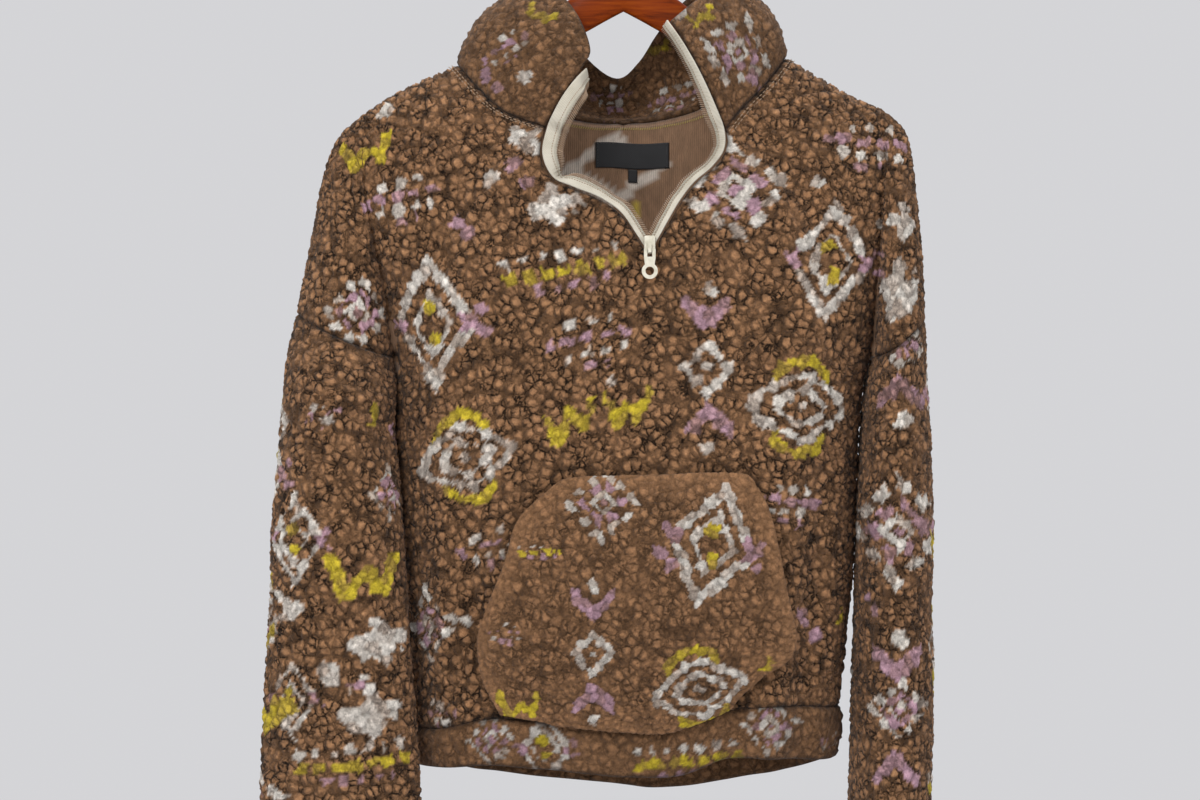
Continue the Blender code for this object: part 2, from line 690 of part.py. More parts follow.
def zip_edge(side):
    """The edge that a tape is sewn to: the collar's front edge and then the slit."""
    collar = collar_grid()[:, 0 if side == LEFT else -1]
    slit = torso_patch(FRONT, side)[FRONT_NECK_ROWS : CREASE_ROWS + 1, 0]
    edge = smooth_line(np.vstack([collar, on_face(FRONT, slit)[1:]]), 6)
    neighbour = collar_grid()[:, 1 if side == LEFT else -2]
    slit_next = torso_patch(FRONT, side)[FRONT_NECK_ROWS : CREASE_ROWS + 1, 1]
    beside = smooth_line(np.vstack([neighbour, on_face(FRONT, slit_next)[1:]]), 6)
    return edge, beside


def build_tape(name, side, tape):
    """A flat tape along the zip's edge, turned a little into the opening."""
    edge, beside = zip_edge(side)
    shares = np.linspace(0, TAPE_END_SHARE, TAPE_SECTIONS + 1)
    path, next_path = along(edge, shares), along(beside, shares)
    run = np.gradient(path, axis=0)
    run /= np.linalg.norm(run, axis=1, keepdims=True)
    out = path - next_path
    out -= run * (out * run).sum(axis=1, keepdims=True)
    out /= np.linalg.norm(out, axis=1, keepdims=True)
    normal = np.cross(run, out) * -side
    table = np.asarray(TAPE[side], float)
    wide = np.interp(shares, table[:, 0], table[:, 1])[:, None]
    turn = np.radians(np.interp(shares, table[:, 0], table[:, 2]))[:, None]
    across = out * np.cos(turn) - normal * np.sin(turn)
    thick = (out * np.sin(turn) + normal * np.cos(turn)) * TAPE_THICK
    start = path + out * TAPE_CLEAR - normal * 0.2
    corners = [start, start + across * wide, start + across * wide + thick, start + thick]
    rings = np.stack(corners, axis=1)
    count = len(rings)
    faces = []
    for section in range(count - 1):
        for corner in range(4):
            a = section * 4 + corner
            b = section * 4 + (corner + 1) % 4
            faces.append((a, b, b + 4, a + 4))
    faces += [(3, 2, 1, 0), tuple((count - 1) * 4 + i for i in range(4))]
    mesh_object(name, rings.reshape(-1, 3), faces, tape)


def box(name, low, high, material):
    """A closed box between two corners in millimetres."""
    points = [(x, y, z) for x in (low[0], high[0]) for y in (low[1], high[1]) for z in (low[2], high[2])]
    faces = [(0, 1, 3, 2), (4, 6, 7, 5), (0, 4, 5, 1), (2, 3, 7, 6), (0, 2, 6, 4), (1, 5, 7, 3)]
    return mesh_object(name, points, faces, material)


def add_bevel(thing, width):
    """Softened edges."""
    bevel = thing.modifiers.new("softened", "BEVEL")
    bevel.width = width * MM
    bevel.segments = 2


def join_to(thing, others):
    """The first piece with the others united to it."""
    for other in others:
        other.hide_render = True
        other.display_type = "WIRE"
        union = thing.modifiers.new("joined", "BOOLEAN")
        union.operation = "UNION"
        union.object = other


def build_slider(metal):
    """The slider's body, with the strap that its pull hangs under."""
    x, y, z = PIVOT
    half = SLIDER_SIZE[0] / 2
    back = y + PULL_THICK / 2 + PULL_RUN
    front = y - PULL_THICK / 2 - PULL_RUN
    low, high = z + SLIDER_TOP - SLIDER_SIZE[2], z + SLIDER_TOP
    body = box("zip_slider", (x - half, back, low), (x + half, back + SLIDER_SIZE[1], high), metal)
    add_bevel(body, 1.4)
    wide = STRAP_WIDE / 2
    parts = []
    for label, (start, end) in (("low leg", STRAP_LOW), ("high leg", STRAP_HIGH)):
        leg_low = (x - wide, front - STRAP_TIP, z + start)
        leg_high = (x + wide, back + STRAP_ROOT, z + end)
        parts.append(box(label, leg_low, leg_high, metal))
    wide += STRAP_LAP
    strap_low = (x - wide, front - STRAP_THICK, z + STRAP_LOW[0] - STRAP_LAP)
    strap_high = (x + wide, front, z + STRAP_HIGH[1] + STRAP_LAP)
    parts.append(box("strap", strap_low, strap_high, metal))
    join_to(body, parts)


def arc(middle, radius, start, end, count):
    """Points on an arc, angles in degrees."""
    turn = np.radians(np.linspace(start, end, count))
    return np.column_stack([middle[0] + radius * np.cos(turn), middle[1] + radius * np.sin(turn)])


def build_pull(metal):
    """The pull: a plate with a window for the strap and a ring at its lower end."""
    ring_z, ring_radius, hole_radius = PULL_RING
    half, window_top, window_low = PULL_WINDOW
    neck_half, neck_z = PULL_NECK
    lean = math.degrees(math.asin(neck_half / ring_radius))
    shoulder = arc((PULL_HALF_TOP - 1.2, window_top * -1 - 1.2), 1.2, 90, 0, 4)
    right = np.vstack([shoulder, [(PULL_HALF_TOP, window_low - 0.8)], [(neck_half + 0.3, neck_z)]])
    low = arc((0, ring_z), ring_radius, 90 - lean, -270 + lean, 22)
    outline = np.vstack([right, low, right[::-1] * (-1, 1)])
    window = np.array([(-half, window_top), (half, window_top), (half, window_low), (-half, window_low)])
    hole = arc((0, ring_z), hole_radius, 0, 337.5, 16)
    curve = bpy.data.curves.new("zip_pull_tab", "CURVE")
    curve.dimensions = "2D"
    curve.fill_mode = "BOTH"
    curve.extrude = PULL_THICK / 2 * MM
    for loop in (outline, window, hole):
        spline = curve.splines.new("POLY")
        spline.points.add(len(loop) - 1)
        spline.use_cyclic_u = True
        for point, (across, up) in zip(spline.points, loop):
            point.co = (across * MM, up * MM, 0, 1)
    curve.materials.append(metal)
    pull = bpy.data.objects.new("zip_pull_tab", curve)
    pull.location = [value * MM for value in PIVOT]
    pull.rotation_euler = (math.pi / 2, 0, 0)
    bpy.context.scene.collection.objects.link(pull)


def build_labels(weave):
    """Bare woven labels that follow the back's inside."""
    for name, (x, z, wide, high, gap) in LABELS.items():
        columns, rows = max(2, round(wide / 8)), 2
        across = np.linspace(-wide / 2, wide / 2, columns + 1)
        down = np.linspace(high / 2, -high / 2, rows + 1)
        flat = np.stack(np.meshgrid(x + across, z + down), axis=-1)
        normal = face_normal(BACK, flat)
        near = on_face(BACK, flat) - normal * (FLEECE_WALL + gap)
        sheet = joined([(near, False)])
        wall(name, sheet, vertex_normals(*sheet), LABEL_THICK, weave)


def build_hanger(wood, metal):
    """The wooden arms, and the hook standing in them."""
    rows = np.asarray(ARM_PROFILE, float)
    rows = np.vstack([rows[:0:-1] * (-1, 1, 1), rows])
    turn = np.radians(np.arange(12) * 30.0)
    rings = []
    for x, top, bottom in rows:
        high, half = (top - bottom) / 2, ARM_THICK / 2
        across = half * np.sign(np.cos(turn)) * np.abs(np.cos(turn)) ** ARM_BOXY
        up = high * np.sin(turn)
        rings.append(np.column_stack([np.full(12, x), across, (top + bottom) / 2 + up]))
    points = np.array(rings).reshape(-1, 3)
    faces = []
    for section in range(len(rows) - 1):
        for corner in range(12):
            a, b = section * 12 + corner, section * 12 + (corner + 1) % 12
            faces.append((a, b, b + 12, a + 12))
    faces += [tuple(range(12))[::-1], tuple((len(rows) - 1) * 12 + i for i in range(12))]
    arms = mesh_object("hanger_arms", points, faces, wood)
    top = rows[len(rows) // 2][1]
    socket = bpy.data.objects.new("socket", bpy.data.meshes.new("socket"))
    work = bmesh.new()
    reach = HOOK_WIRE + HOOK_CLEAR
    bmesh.ops.create_cone(work, cap_ends=True, segments=16, radius1=reach * MM, radius2=reach * MM, depth=0.04)
    work.to_mesh(socket.data)
    work.free()
    socket.location = (0, 0, (top - HOOK_SINK - HOOK_CLEAR) * MM + 0.02)
    socket.hide_render = True
    socket.display_type = "WIRE"
    bpy.context.scene.collection.objects.link(socket)
    cut = arms.modifiers.new("socket", "BOOLEAN")
    cut.operation = "DIFFERENCE"
    cut.object = socket
    build_hook(top, metal)


def build_hook(wood_top, metal):
    """A stem that turns into an open hook, whose inner top is the origin."""
    radius = HOOK_INNER + HOOK_WIRE
    middle = -HOOK_INNER
    stem_top = middle - radius - 2
    bend = np.column_stack([np.zeros(4), np.linspace(wood_top - HOOK_SINK, stem_top - 4, 4)])
    bow = arc((0, middle), radius, -72, -72 + HOOK_TURN + 30, 22)
    line = smooth_line(np.vstack([bend, bow]), 2)
    curve = bpy.data.curves.new("hanger_hook", "CURVE")
    curve.dimensions = "3D"
    curve.bevel_depth = HOOK_WIRE * MM
    curve.bevel_resolution = 2
    curve.use_fill_caps = True
    spline = curve.splines.new("POLY")
    spline.points.add(len(line) - 1)
    for point, (x, z) in zip(spline.points, line):
        point.co = (x * MM, 0, z * MM, 1)
    curve.materials.append(metal)
    hook = bpy.data.objects.new("hanger_hook", curve)
    bpy.context.scene.collection.objects.link(hook)


def main():
    for thing in list(bpy.data.objects):
        bpy.data.objects.remove(thing)
    fleece = finish("brown sherpa fleece", (0.23, 0.13, 0.075), 0.95)
    tape = finish("cream woven tape", (0.70, 0.66, 0.54), 0.85)
    enamel = finish("cream enamelled zinc", (0.72, 0.70, 0.60), 0.35)
    weave = finish("black woven label", (0.012, 0.014, 0.018), 0.8)
    wood = finish("varnished cherry wood", (0.30, 0.06, 0.012), 0.3)
    chrome = finish("chromed steel wire", (0.62, 0.62, 0.63), 0.12, 1.0)
    build_cloth(fleece)
    build_pocket(fleece)
    build_tape("zip_tape_left", LEFT, tape)
    build_tape("zip_tape_right", RIGHT, tape)
    build_slider(enamel)
    build_pull(enamel)
    build_labels(weave)
    build_hanger(wood, chrome)


main()
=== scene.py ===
"""Looks of a pile fleece quarter-zip sweater on its wooden hanger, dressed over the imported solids.

Tables are in millimetres in the part's own frame: the origin is the inner top of the hanger's hook, +Z is
up and the garment's front faces -Y. Each cloth piece is a thin closed shell on the form of its solid, with
the pile's curls modelled on its face and the print laid curl by curl.
"""

import logging
import math
from dataclasses import dataclass, field, replace
from enum import Enum, IntEnum
from functools import cached_property

import bpy
import numpy as np
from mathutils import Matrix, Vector
from mathutils.kdtree import KDTree

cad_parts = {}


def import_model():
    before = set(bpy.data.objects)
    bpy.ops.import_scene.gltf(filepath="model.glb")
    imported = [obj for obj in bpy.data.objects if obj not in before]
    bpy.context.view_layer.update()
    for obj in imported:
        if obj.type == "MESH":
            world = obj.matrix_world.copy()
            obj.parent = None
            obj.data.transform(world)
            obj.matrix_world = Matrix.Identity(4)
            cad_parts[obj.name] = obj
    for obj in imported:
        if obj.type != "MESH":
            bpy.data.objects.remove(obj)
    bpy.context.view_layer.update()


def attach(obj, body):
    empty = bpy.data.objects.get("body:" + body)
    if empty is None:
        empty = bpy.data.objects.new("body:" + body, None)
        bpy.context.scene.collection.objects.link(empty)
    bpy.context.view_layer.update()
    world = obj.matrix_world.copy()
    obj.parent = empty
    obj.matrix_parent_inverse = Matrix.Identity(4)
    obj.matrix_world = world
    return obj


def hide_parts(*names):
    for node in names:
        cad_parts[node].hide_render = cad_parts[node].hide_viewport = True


Array = np.ndarray
Rows = tuple[tuple[float, ...], ...]
Pair = tuple[float, float]
Socket = bpy.types.NodeSocket

MM = 0.001
LOG = logging.getLogger("fleece sweater")
BODY = "garment"
PULL_BODY = "pull_tab"


class Side(IntEnum):
    """The side of the garment, as the sign of its x."""

    LEFT = -1
    RIGHT = 1


class Face(IntEnum):
    """The front or the back, as the sign of its y."""

    FRONT = -1
    BACK = 1


class View(Enum):
    """Where a motif's place is read from."""

    FRONT = "front"
    BACK = "back"
    LEFT = "left"
    RIGHT = "right"


class Yarn(IntEnum):
    """The colours of the print."""

    GROUND = 0
    WHITE = 1
    PINK = 2
    YELLOW = 3


# The shoulder line from the neck point to the sleeve seam. Columns: x, z.
SHOULDER_LINE = {
    Side.LEFT: (
        (-146, -153), (-194, -175), (-220, -192), (-242, -210), (-254, -228),
        (-262, -255), (-268, -286), (-274, -318), (-280, -349), (-284, -369),
    ),
    Side.RIGHT: (
        (143, -147), (197, -179), (223, -191), (243, -208), (250, -228),
        (253, -255), (256, -286), (259, -318), (260, -349), (261, -374),
    ),
}
CREASE_START = 2
# The crease between arm and body, and the side seam below it. Columns: x, z.
CREASE = {
    Side.LEFT: ((-220, -192), (-224, -232), (-221, -272), (-214, -310), (-206, -352), (-199, -406)),
    Side.RIGHT: ((223, -191), (223, -236), (221, -284), (219, -334), (216, -406)),
}
SIDE_SEAM = {
    Side.LEFT: (
        (-199, -406), (-200, -430), (-201, -455), (-200, -500), (-198, -549), (-193, -600), (-188, -653),
        (-185, -727),
    ),
    Side.RIGHT: (
        (216, -406), (210.5, -427), (207.5, -454), (205.3, -488), (203.3, -549), (200.3, -601), (196, -640),
        (189, -709),
    ),
}
# The front neck seam, the zip slit's edge, the centre lines and the back neck seam. Columns: x, z.
FRONT_NECK = {
    Side.LEFT: ((-146, -153), (-125, -178), (-102, -199), (-67, -213)),
    Side.RIGHT: ((143, -147), (124, -172), (102, -195), (87, -214)),
}
SLIT_EDGE = {
    Side.LEFT: (
        (-67, -213), (-71, -232), (-66, -251), (-50, -262), (-21, -274), (-2, -288), (10, -306), (21, -323),
    ),
    Side.RIGHT: (
        (87, -214), (88, -227), (80, -243), (63, -258), (50, -274), (38, -294), (28, -312), (21, -323),
    ),
}
FRONT_CENTRE = ((21, -323), (17, -430), (11, -560), (6, -719))
BACK_NECK = {
    Side.LEFT: ((-146, -153), (-112, -174), (-66, -194), (-28, -202), (0, -203)),
    Side.RIGHT: ((143, -147), (112, -168), (66, -191), (28, -201), (0, -203)),
}
BACK_CENTRE = ((0, -203), (2, -400), (4, -600), (4, -745))
# The hem band's top seam and lower edge. Columns: x, seam z, lower z.
HEM = {
    Face.FRONT: (
        (-185, -727, -762), (-156, -724, -759), (-110, -714, -755), (-38, -718, -761), (6, -719, -764),
        (48, -718, -763), (91, -707, -749), (138, -704, -750), (189, -709, -756),
    ),
    Face.BACK: (
        (-185, -727, -762), (-110, -738, -775), (-34, -744, -783), (4, -745, -787), (33, -746, -789),
        (87, -740, -783), (154, -724, -770), (189, -709, -756),
    ),
}
# How far the body stands out. Columns: z, front, back; then z, crease floor, left swell, right swell.
BELLY = ((-150, 30, 26), (-200, 50, 42), (-300, 64, 52), (-412, 70, 58), (-560, 74, 62), (-760, 70, 60))
VALLEY = (
    (-191, 24, 8, 8), (-215, 31, 13, 13), (-240, 37, 18, 22), (-272, 38, 24, 34), (-310, 32, 32, 46),
    (-350, 20, 42, 58), (-396, 5, 52, 64), (-406, 0, 54, 64), (-800, 0, 54, 64),
)
# Soft folds. Columns: x, z, half width, half length, depth (minus is a trough), lean.
FOLDS = {
    Face.FRONT: (
        (-158, -330, 17, 62, -8, 0.32), (168, -322, 16, 64, -9, -0.26), (-128, -610, 15, 100, -9, -0.08),
        (-158, -640, 11, 80, 6, 0.05), (160, -620, 13, 120, -10, 0.08), (128, -700, 11, 60, 6, 0.06),
        (92, -735, 12, 40, -10, 0.05), (-62, -735, 14, 40, -7, -0.05), (-10, -745, 16, 40, 5, 0.00),
        (-98, -252, 18, 46, 7, 0.70), (118, -262, 17, 46, 7, -0.65), (-60, -330, 20, 60, -5, 0.55),
        (78, -400, 22, 96, -6, 0.22), (-44, -446, 24, 90, -6, -0.22), (150, -460, 16, 70, 5, 0.10),
        (-150, -500, 16, 80, 5, -0.10),
    ),
    Face.BACK: (
        (-146, -340, 17, 76, -10, 0.26), (156, -350, 17, 80, -11, -0.22), (-62, -560, 20, 150, -9, 0.05),
        (50, -610, 18, 130, -11, -0.04), (-128, -650, 13, 96, -9, 0.00), (134, -640, 14, 104, -8, 0.06),
        (5, -290, 60, 34, 6, 0.00), (-6, -690, 17, 70, 6, 0.00), (96, -500, 18, 90, 5, -0.10),
        (-104, -470, 18, 90, 5, 0.10),
    ),
}
# Sleeves. Columns: z, outer x, inner x, middle y, half depth.
SLEEVE = {
    Side.LEFT: (
        (-391, -287, -197, 0, 54), (-412, -289, -195.5, -12, 53), (-435, -291, -194, -26, 52),
        (-460, -293, -194, -32, 51), (-500, -296, -192, -36, 49), (-549, -299, -188, -41, 46),
        (-601, -301, -184, -45, 42), (-653, -304, -181, -49, 38), (-705, -306, -177, -52, 34),
        (-757, -308, -173, -54, 30), (-792, -310, -171, -55, 28), (-861, -307, -176, -56, 28),
    ),
    Side.RIGHT: (
        (-388, 261, 213, 0, 64), (-427, 263, 208.5, -2, 66), (-488, 266, 203.5, -4, 65),
        (-549, 268, 201.5, -5, 64), (-601, 268, 200, -6, 63), (-653, 268, 199, -6, 62),
        (-705, 268, 197, -6, 61),
        (-757, 267, 196, -6, 60), (-792, 266, 195, -6, 60), (-861, 262, 196, -6, 57),
    ),
}
# Folds round a sleeve. Columns: z, angle in degrees, half length, half angle, depth.
SLEEVE_FOLDS = {
    Side.LEFT: (
        (-455, 150, 26, 46, -5), (-560, 40, 34, 36, 4), (-640, 115, 30, 40, -5), (-735, 70, 26, 44, 4),
        (-600, 250, 50, 40, -6),
    ),
    Side.RIGHT: (
        (-440, 60, 24, 40, -4), (-540, 120, 30, 44, 4), (-620, 50, 26, 40, -4), (-730, 110, 30, 44, -4),
        (-560, 270, 50, 44, -6),
    ),
}
# The collar's top edge. Columns: place along the neck seam, x, y, z, swell of the collar below it.
COLLAR_TOP = (
    (0.0, -33, -42, -160, 12), (0.8, -27, -38, -146, 13), (1.6, -33, -32, -124, 14),
    (2.4, -44, -25, -104, 15), (3.2, -59, -13, -88, 16), (4.2, -72, 6, -82, 17), (5.5, -69, 26, -92, 18),
    (7.0, -53, 42, -112, 22),
    (8.6, -31, 54, -139, 24), (10.0, -6, 60, -156, 24), (11.2, 12, 60, -143, 24), (12.6, 28, 56, -120, 22),
    (14.0, 46, 43, -98, 20), (15.2, 66, 25, -82, 18), (16.2, 81, 5, -77, 17), (17.5, 74, -13, -87, 16),
    (18.8, 57, -24, -102, 14), (20.0, 39, -31, -118, 12),
)
# The pocket's edges on the front. Columns: x, z.
POCKET_TOP = ((-60, -515), (-44, -509), (25, -506), (97, -505), (110, -514))
POCKET_BOTTOM = ((-104, -711), (-49, -721), (0, -726), (37, -726), (72, -714), (93, -701))
POCKET_LEFT = ((-60, -515), (-90, -544), (-101, -579), (-112, -620), (-120, -652), (-117, -680), (-104, -711))
POCKET_RIGHT = (
    (110, -514), (122, -534), (130, -570), (135, -605), (139, -646), (131, -668), (112, -684), (93, -701),
)
# Zip tapes. Columns: share of the way down, width, turn of the tape from the cloth in degrees.
TAPE = {
    Side.LEFT: (
        (0.0, 13.0, 20), (0.35, 13.0, 20), (0.55, 12.0, 24), (0.75, 8.0, 30), (0.9, 6.5, 20), (1.0, 4.4, 10),
    ),
    Side.RIGHT: (
        (0.0, 8.0, 62), (0.35, 9.5, 62), (0.55, 10.0, 50), (0.75, 8.0, 40), (0.9, 6.5, 20), (1.0, 4.4, 10),
    ),
}
# The hanger's arms. Columns: distance from the middle, top z, bottom z.
ARM_PROFILE = (
    (0, -73, -107), (16, -78, -115.5), (33, -87, -125), (60, -106, -139), (100, -138, -158),
    (146, -169, -184), (178, -181, -195), (194, -186.5, -201), (207, -191.2, -205), (214, -197, -206),
)

# Where the motifs lie on each piece, as pixels of a picture 1200 wide of the front, or of a like one of the
# back, and as millimetres of y and z on the outer sides. Columns: across, up or down, kind, size, tilt.
PLACES = {
    ("front", View.FRONT): (
        (432, 325, "lozenge", 1.0, 4), (832, 262, "lozenge", 0.92, -6), (735, 190, "dotted", 1.0, 12),
        (466, 458, "eye", 1.0, 14), (803, 407, "eye", 1.08, -2), (597, 415, "zigzag", 1.0, 3),
        (565, 270, "dashes", 1.0, 12), (590, 336, "rows", 1.0, 12), (707, 368, "column", 1.0, 0),
        (790, 502, "rows", 0.8, -6), (552, 206, "patch", 1.0, 8), (527, 138, "patch", 0.75, -35),
        (516, 168, "pink dot", 1.4, 0), (491, 178, "white dot", 1.3, 0), (400, 196, "rows", 0.9, 14),
        (366, 150, "bolt", 0.9, 22), (868, 140, "rows", 1.0, -4), (905, 222, "patch", 0.7, 80),
        (896, 292, "patch", 1.15, 80), (357, 312, "dotted", 0.7, -10), (488, 545, "rows", 0.7, 18),
        (428, 626, "dotted", 0.7, 6), (806, 622, "pink dot", 1.5, 0), (842, 617, "bolt", 0.3, 80),
        (437, 715, "rows", 0.5, 0), (460, 222, "pink dot", 1.0, 0), (820, 182, "white dot", 1.0, 0),
        (386, 108, "patch", 0.5, 30),
    ),
    ("pocket", View.FRONT): (
        (712, 545, "lozenge", 0.96, -16), (700, 690, "eye", 0.96, 14), (593, 655, "column", 0.88, 0),
        (603, 503, "dotted", 0.72, 0), (540, 552, "dashes", 0.36, 4), (519, 706, "bolt", 0.72, 4),
        (505, 632, "rows", 0.4, 0), (768, 665, "bolt", 0.3, 70), (663, 553, "pink dot", 1.2, 0),
        (752, 545, "pink dot", 0.9, 0),
    ),
    ("hem_band", View.FRONT): (
        (545, 749, "lozenge", 0.56, 0), (490, 740, "dotted", 0.5, 0), (690, 762, "dashes", 0.9, 5),
        (770, 727, "dotted", 0.55, 0), (832, 740, "rows", 0.4, 0),
    ),
    ("hem_band", View.BACK): (
        (480, 748, "dashes", 0.9, 0), (640, 760, "lozenge", 0.5, 0), (760, 752, "dotted", 0.5, 0),
    ),
    ("sleeve_left", View.FRONT): (
        (366, 576, "bolt", 1.2, 4), (379, 642, "patch", 1.1, 8), (360, 684, "rows", 0.45, 0),
        (372, 715, "patch", 1.1, 4), (329, 672, "white dot", 1.6, 0), (355, 765, "dashes", 0.95, 6),
        (391, 494, "dotted", 0.5, 0), (372, 415, "bolt", 0.4, 60), (322, 412, "rows", 0.45, 10),
        (293, 540, "lozenge", 0.7, 0), (405, 430, "pink dot", 1.0, 0), (290, 700, "lozenge", 0.6, 4),
    ),
    ("sleeve_left", View.LEFT): (
        (-20, -470, "eye", 0.9, 10), (-30, -640, "dotted", 0.8, 0),
    ),
    ("sleeve_left", View.BACK): (
        (920, 470, "lozenge", 0.85, 0), (935, 600, "eye", 0.85, 8), (925, 700, "bolt", 1.1, 6),
        (930, 790, "dotted", 0.8, 0),
    ),
    ("sleeve_right", View.FRONT): (
        (902, 342, "dotted", 0.5, 0), (900, 392, "tent", 1.0, 0), (905, 421, "white dot", 1.2, 0),
        (898, 531, "dotted", 1.05, 0), (900, 641, "white dot", 1.3, 0), (898, 666, "vee", 1.0, 0),
        (899, 712, "dotted", 0.6, 0), (895, 766, "tent", 1.0, 0), (870, 600, "pink dot", 1.0, 0),
    ),
    ("sleeve_right", View.RIGHT): (
        (6, -440, "lozenge", 0.95, 0), (2, -560, "zigzag", 0.9, 4), (0, -660, "eye", 1.0, -8),
        (4, -780, "dashes", 0.8, 0),
    ),
    ("sleeve_right", View.BACK): (
        (305, 480, "column", 0.8, 0), (305, 680, "dotted", 0.9, 0),
    ),
    ("back", View.BACK): (
        (600, 330, "lozenge", 1.1, 0), (450, 260, "eye", 1.0, 10), (750, 250, "dotted", 1.0, -8),
        (740, 400, "zigzag", 1.0, -4), (470, 400, "rows", 1.1, 6), (600, 480, "dashes", 1.0, 4),
        (430, 520, "column", 1.0, 0), (760, 540, "lozenge", 1.0, 6), (590, 590, "eye", 1.05, -6),
        (690, 660, "dotted", 0.9, 0), (510, 680, "zigzag", 0.9, 6), (600, 215, "dashes", 0.8, 0),
        (840, 330, "column", 0.8, 0), (350, 300, "lozenge", 0.8, 0), (395, 180, "bolt", 0.9, -12),
        (810, 165, "rows", 0.9, 4), (600, 400, "white dot", 1.2, 0), (680, 330, "patch", 0.9, 10),
        (820, 470, "rows", 0.8, 0), (545, 270, "pink dot", 1.2, 0), (655, 265, "pink dot", 1.2, 0),
        (800, 690, "rows", 0.8, -6),
    ),
    ("collar", View.FRONT): (
        (543, 13, "bolt", 0.55, -25), (504, 46, "rows", 0.6, 30), (524, 76, "white dot", 1.1, 0),
        (489, 78, "pink dot", 1.2, 0), (700, 14, "bolt", 0.5, 30), (737, 50, "dotted", 0.75, -20),
        (757, 80, "pink dot", 1.2, 0), (680, 12, "white dot", 1.0, 0),
    ),
    ("collar", View.BACK): (
        (600, 60, "rows", 1.0, 0), (500, 30, "lozenge", 0.6, 0), (690, 30, "eye", 0.7, 0),
        (560, 100, "bolt", 0.6, 0),
    ),
}
# The same for the inner faces of back and collar, seen through the open neck.
INNER_PLACES = {
    ("back", View.FRONT): (
        (615, 168, "ring", 1.0, 4),
    ),
    ("collar", View.FRONT): (
        (612, 96, "rows", 0.5, 0), (674, 98, "rows", 0.7, 14), (658, 47, "bolt", 0.4, 30),
    ),
}


def smooth_line(rows: Rows | Array, steps: int = 12) -> Array:
    """A Catmull-Rom curve through the rows, as short chords.

    Args:
        rows: The points that it passes through.
        steps: The chords between two of them.

    Returns:
        The curve's points.
    """
    rows = np.asarray(rows, float)
    ends = np.vstack([2 * rows[0] - rows[1], rows, 2 * rows[-1] - rows[-2]])
    share = np.linspace(0, 1, steps, endpoint=False)[:, None]
    spans = []
    for before, start, end, after in zip(ends, ends[1:], ends[2:], ends[3:]):
        spans.append(
            start
            + 0.5 * (end - before) * share
            + (before - 2.5 * start + 2 * end - 0.5 * after) * share**2
            + 0.5 * (3 * start - before - 3 * end + after) * share**3
        )
    return np.vstack(spans + [rows[-1:]])


def along(line: Array, shares: Array) -> Array:
    """Points at the given shares of a line's length."""
    steps = np.linalg.norm(np.diff(line, axis=0), axis=1)
    reached = np.concatenate([[0], np.cumsum(steps)]) / steps.sum()
    return np.column_stack([np.interp(shares, reached, values) for values in line.T])


def evenly(rows: Rows | Array, count: int) -> Array:
    """Points at count even steps on the curve through the rows."""
    return along(smooth_line(rows), np.linspace(0, 1, count + 1))


def column(table: Rows, at: Array | float, index: int) -> Array:
    """A table's column, read between its rows by the falling z of its first column."""
    rows = np.asarray(table, float)[::-1]
    return np.interp(at, rows[:, 0], rows[:, index])


def rounded(share: Array) -> Array:
    """The height of a quarter round at this share of the way in from its edge."""
    return np.sqrt(1 - (1 - np.clip(share, 0, 1)) ** 2)


def unit(vectors: Array) -> Array:
    """The vectors at length one."""
    return vectors / np.maximum(np.linalg.norm(vectors, axis=-1, keepdims=True), 1e-9)


def smoothly(share: Array) -> Array:
    """An eased step from 0 to 1."""
    share = np.clip(share, 0, 1)
    return share * share * (3 - 2 * share)


def risen(share: Array, start: float) -> Array:
    """An eased step from a start to 1."""
    return start + (1 - start) * smoothly(share)


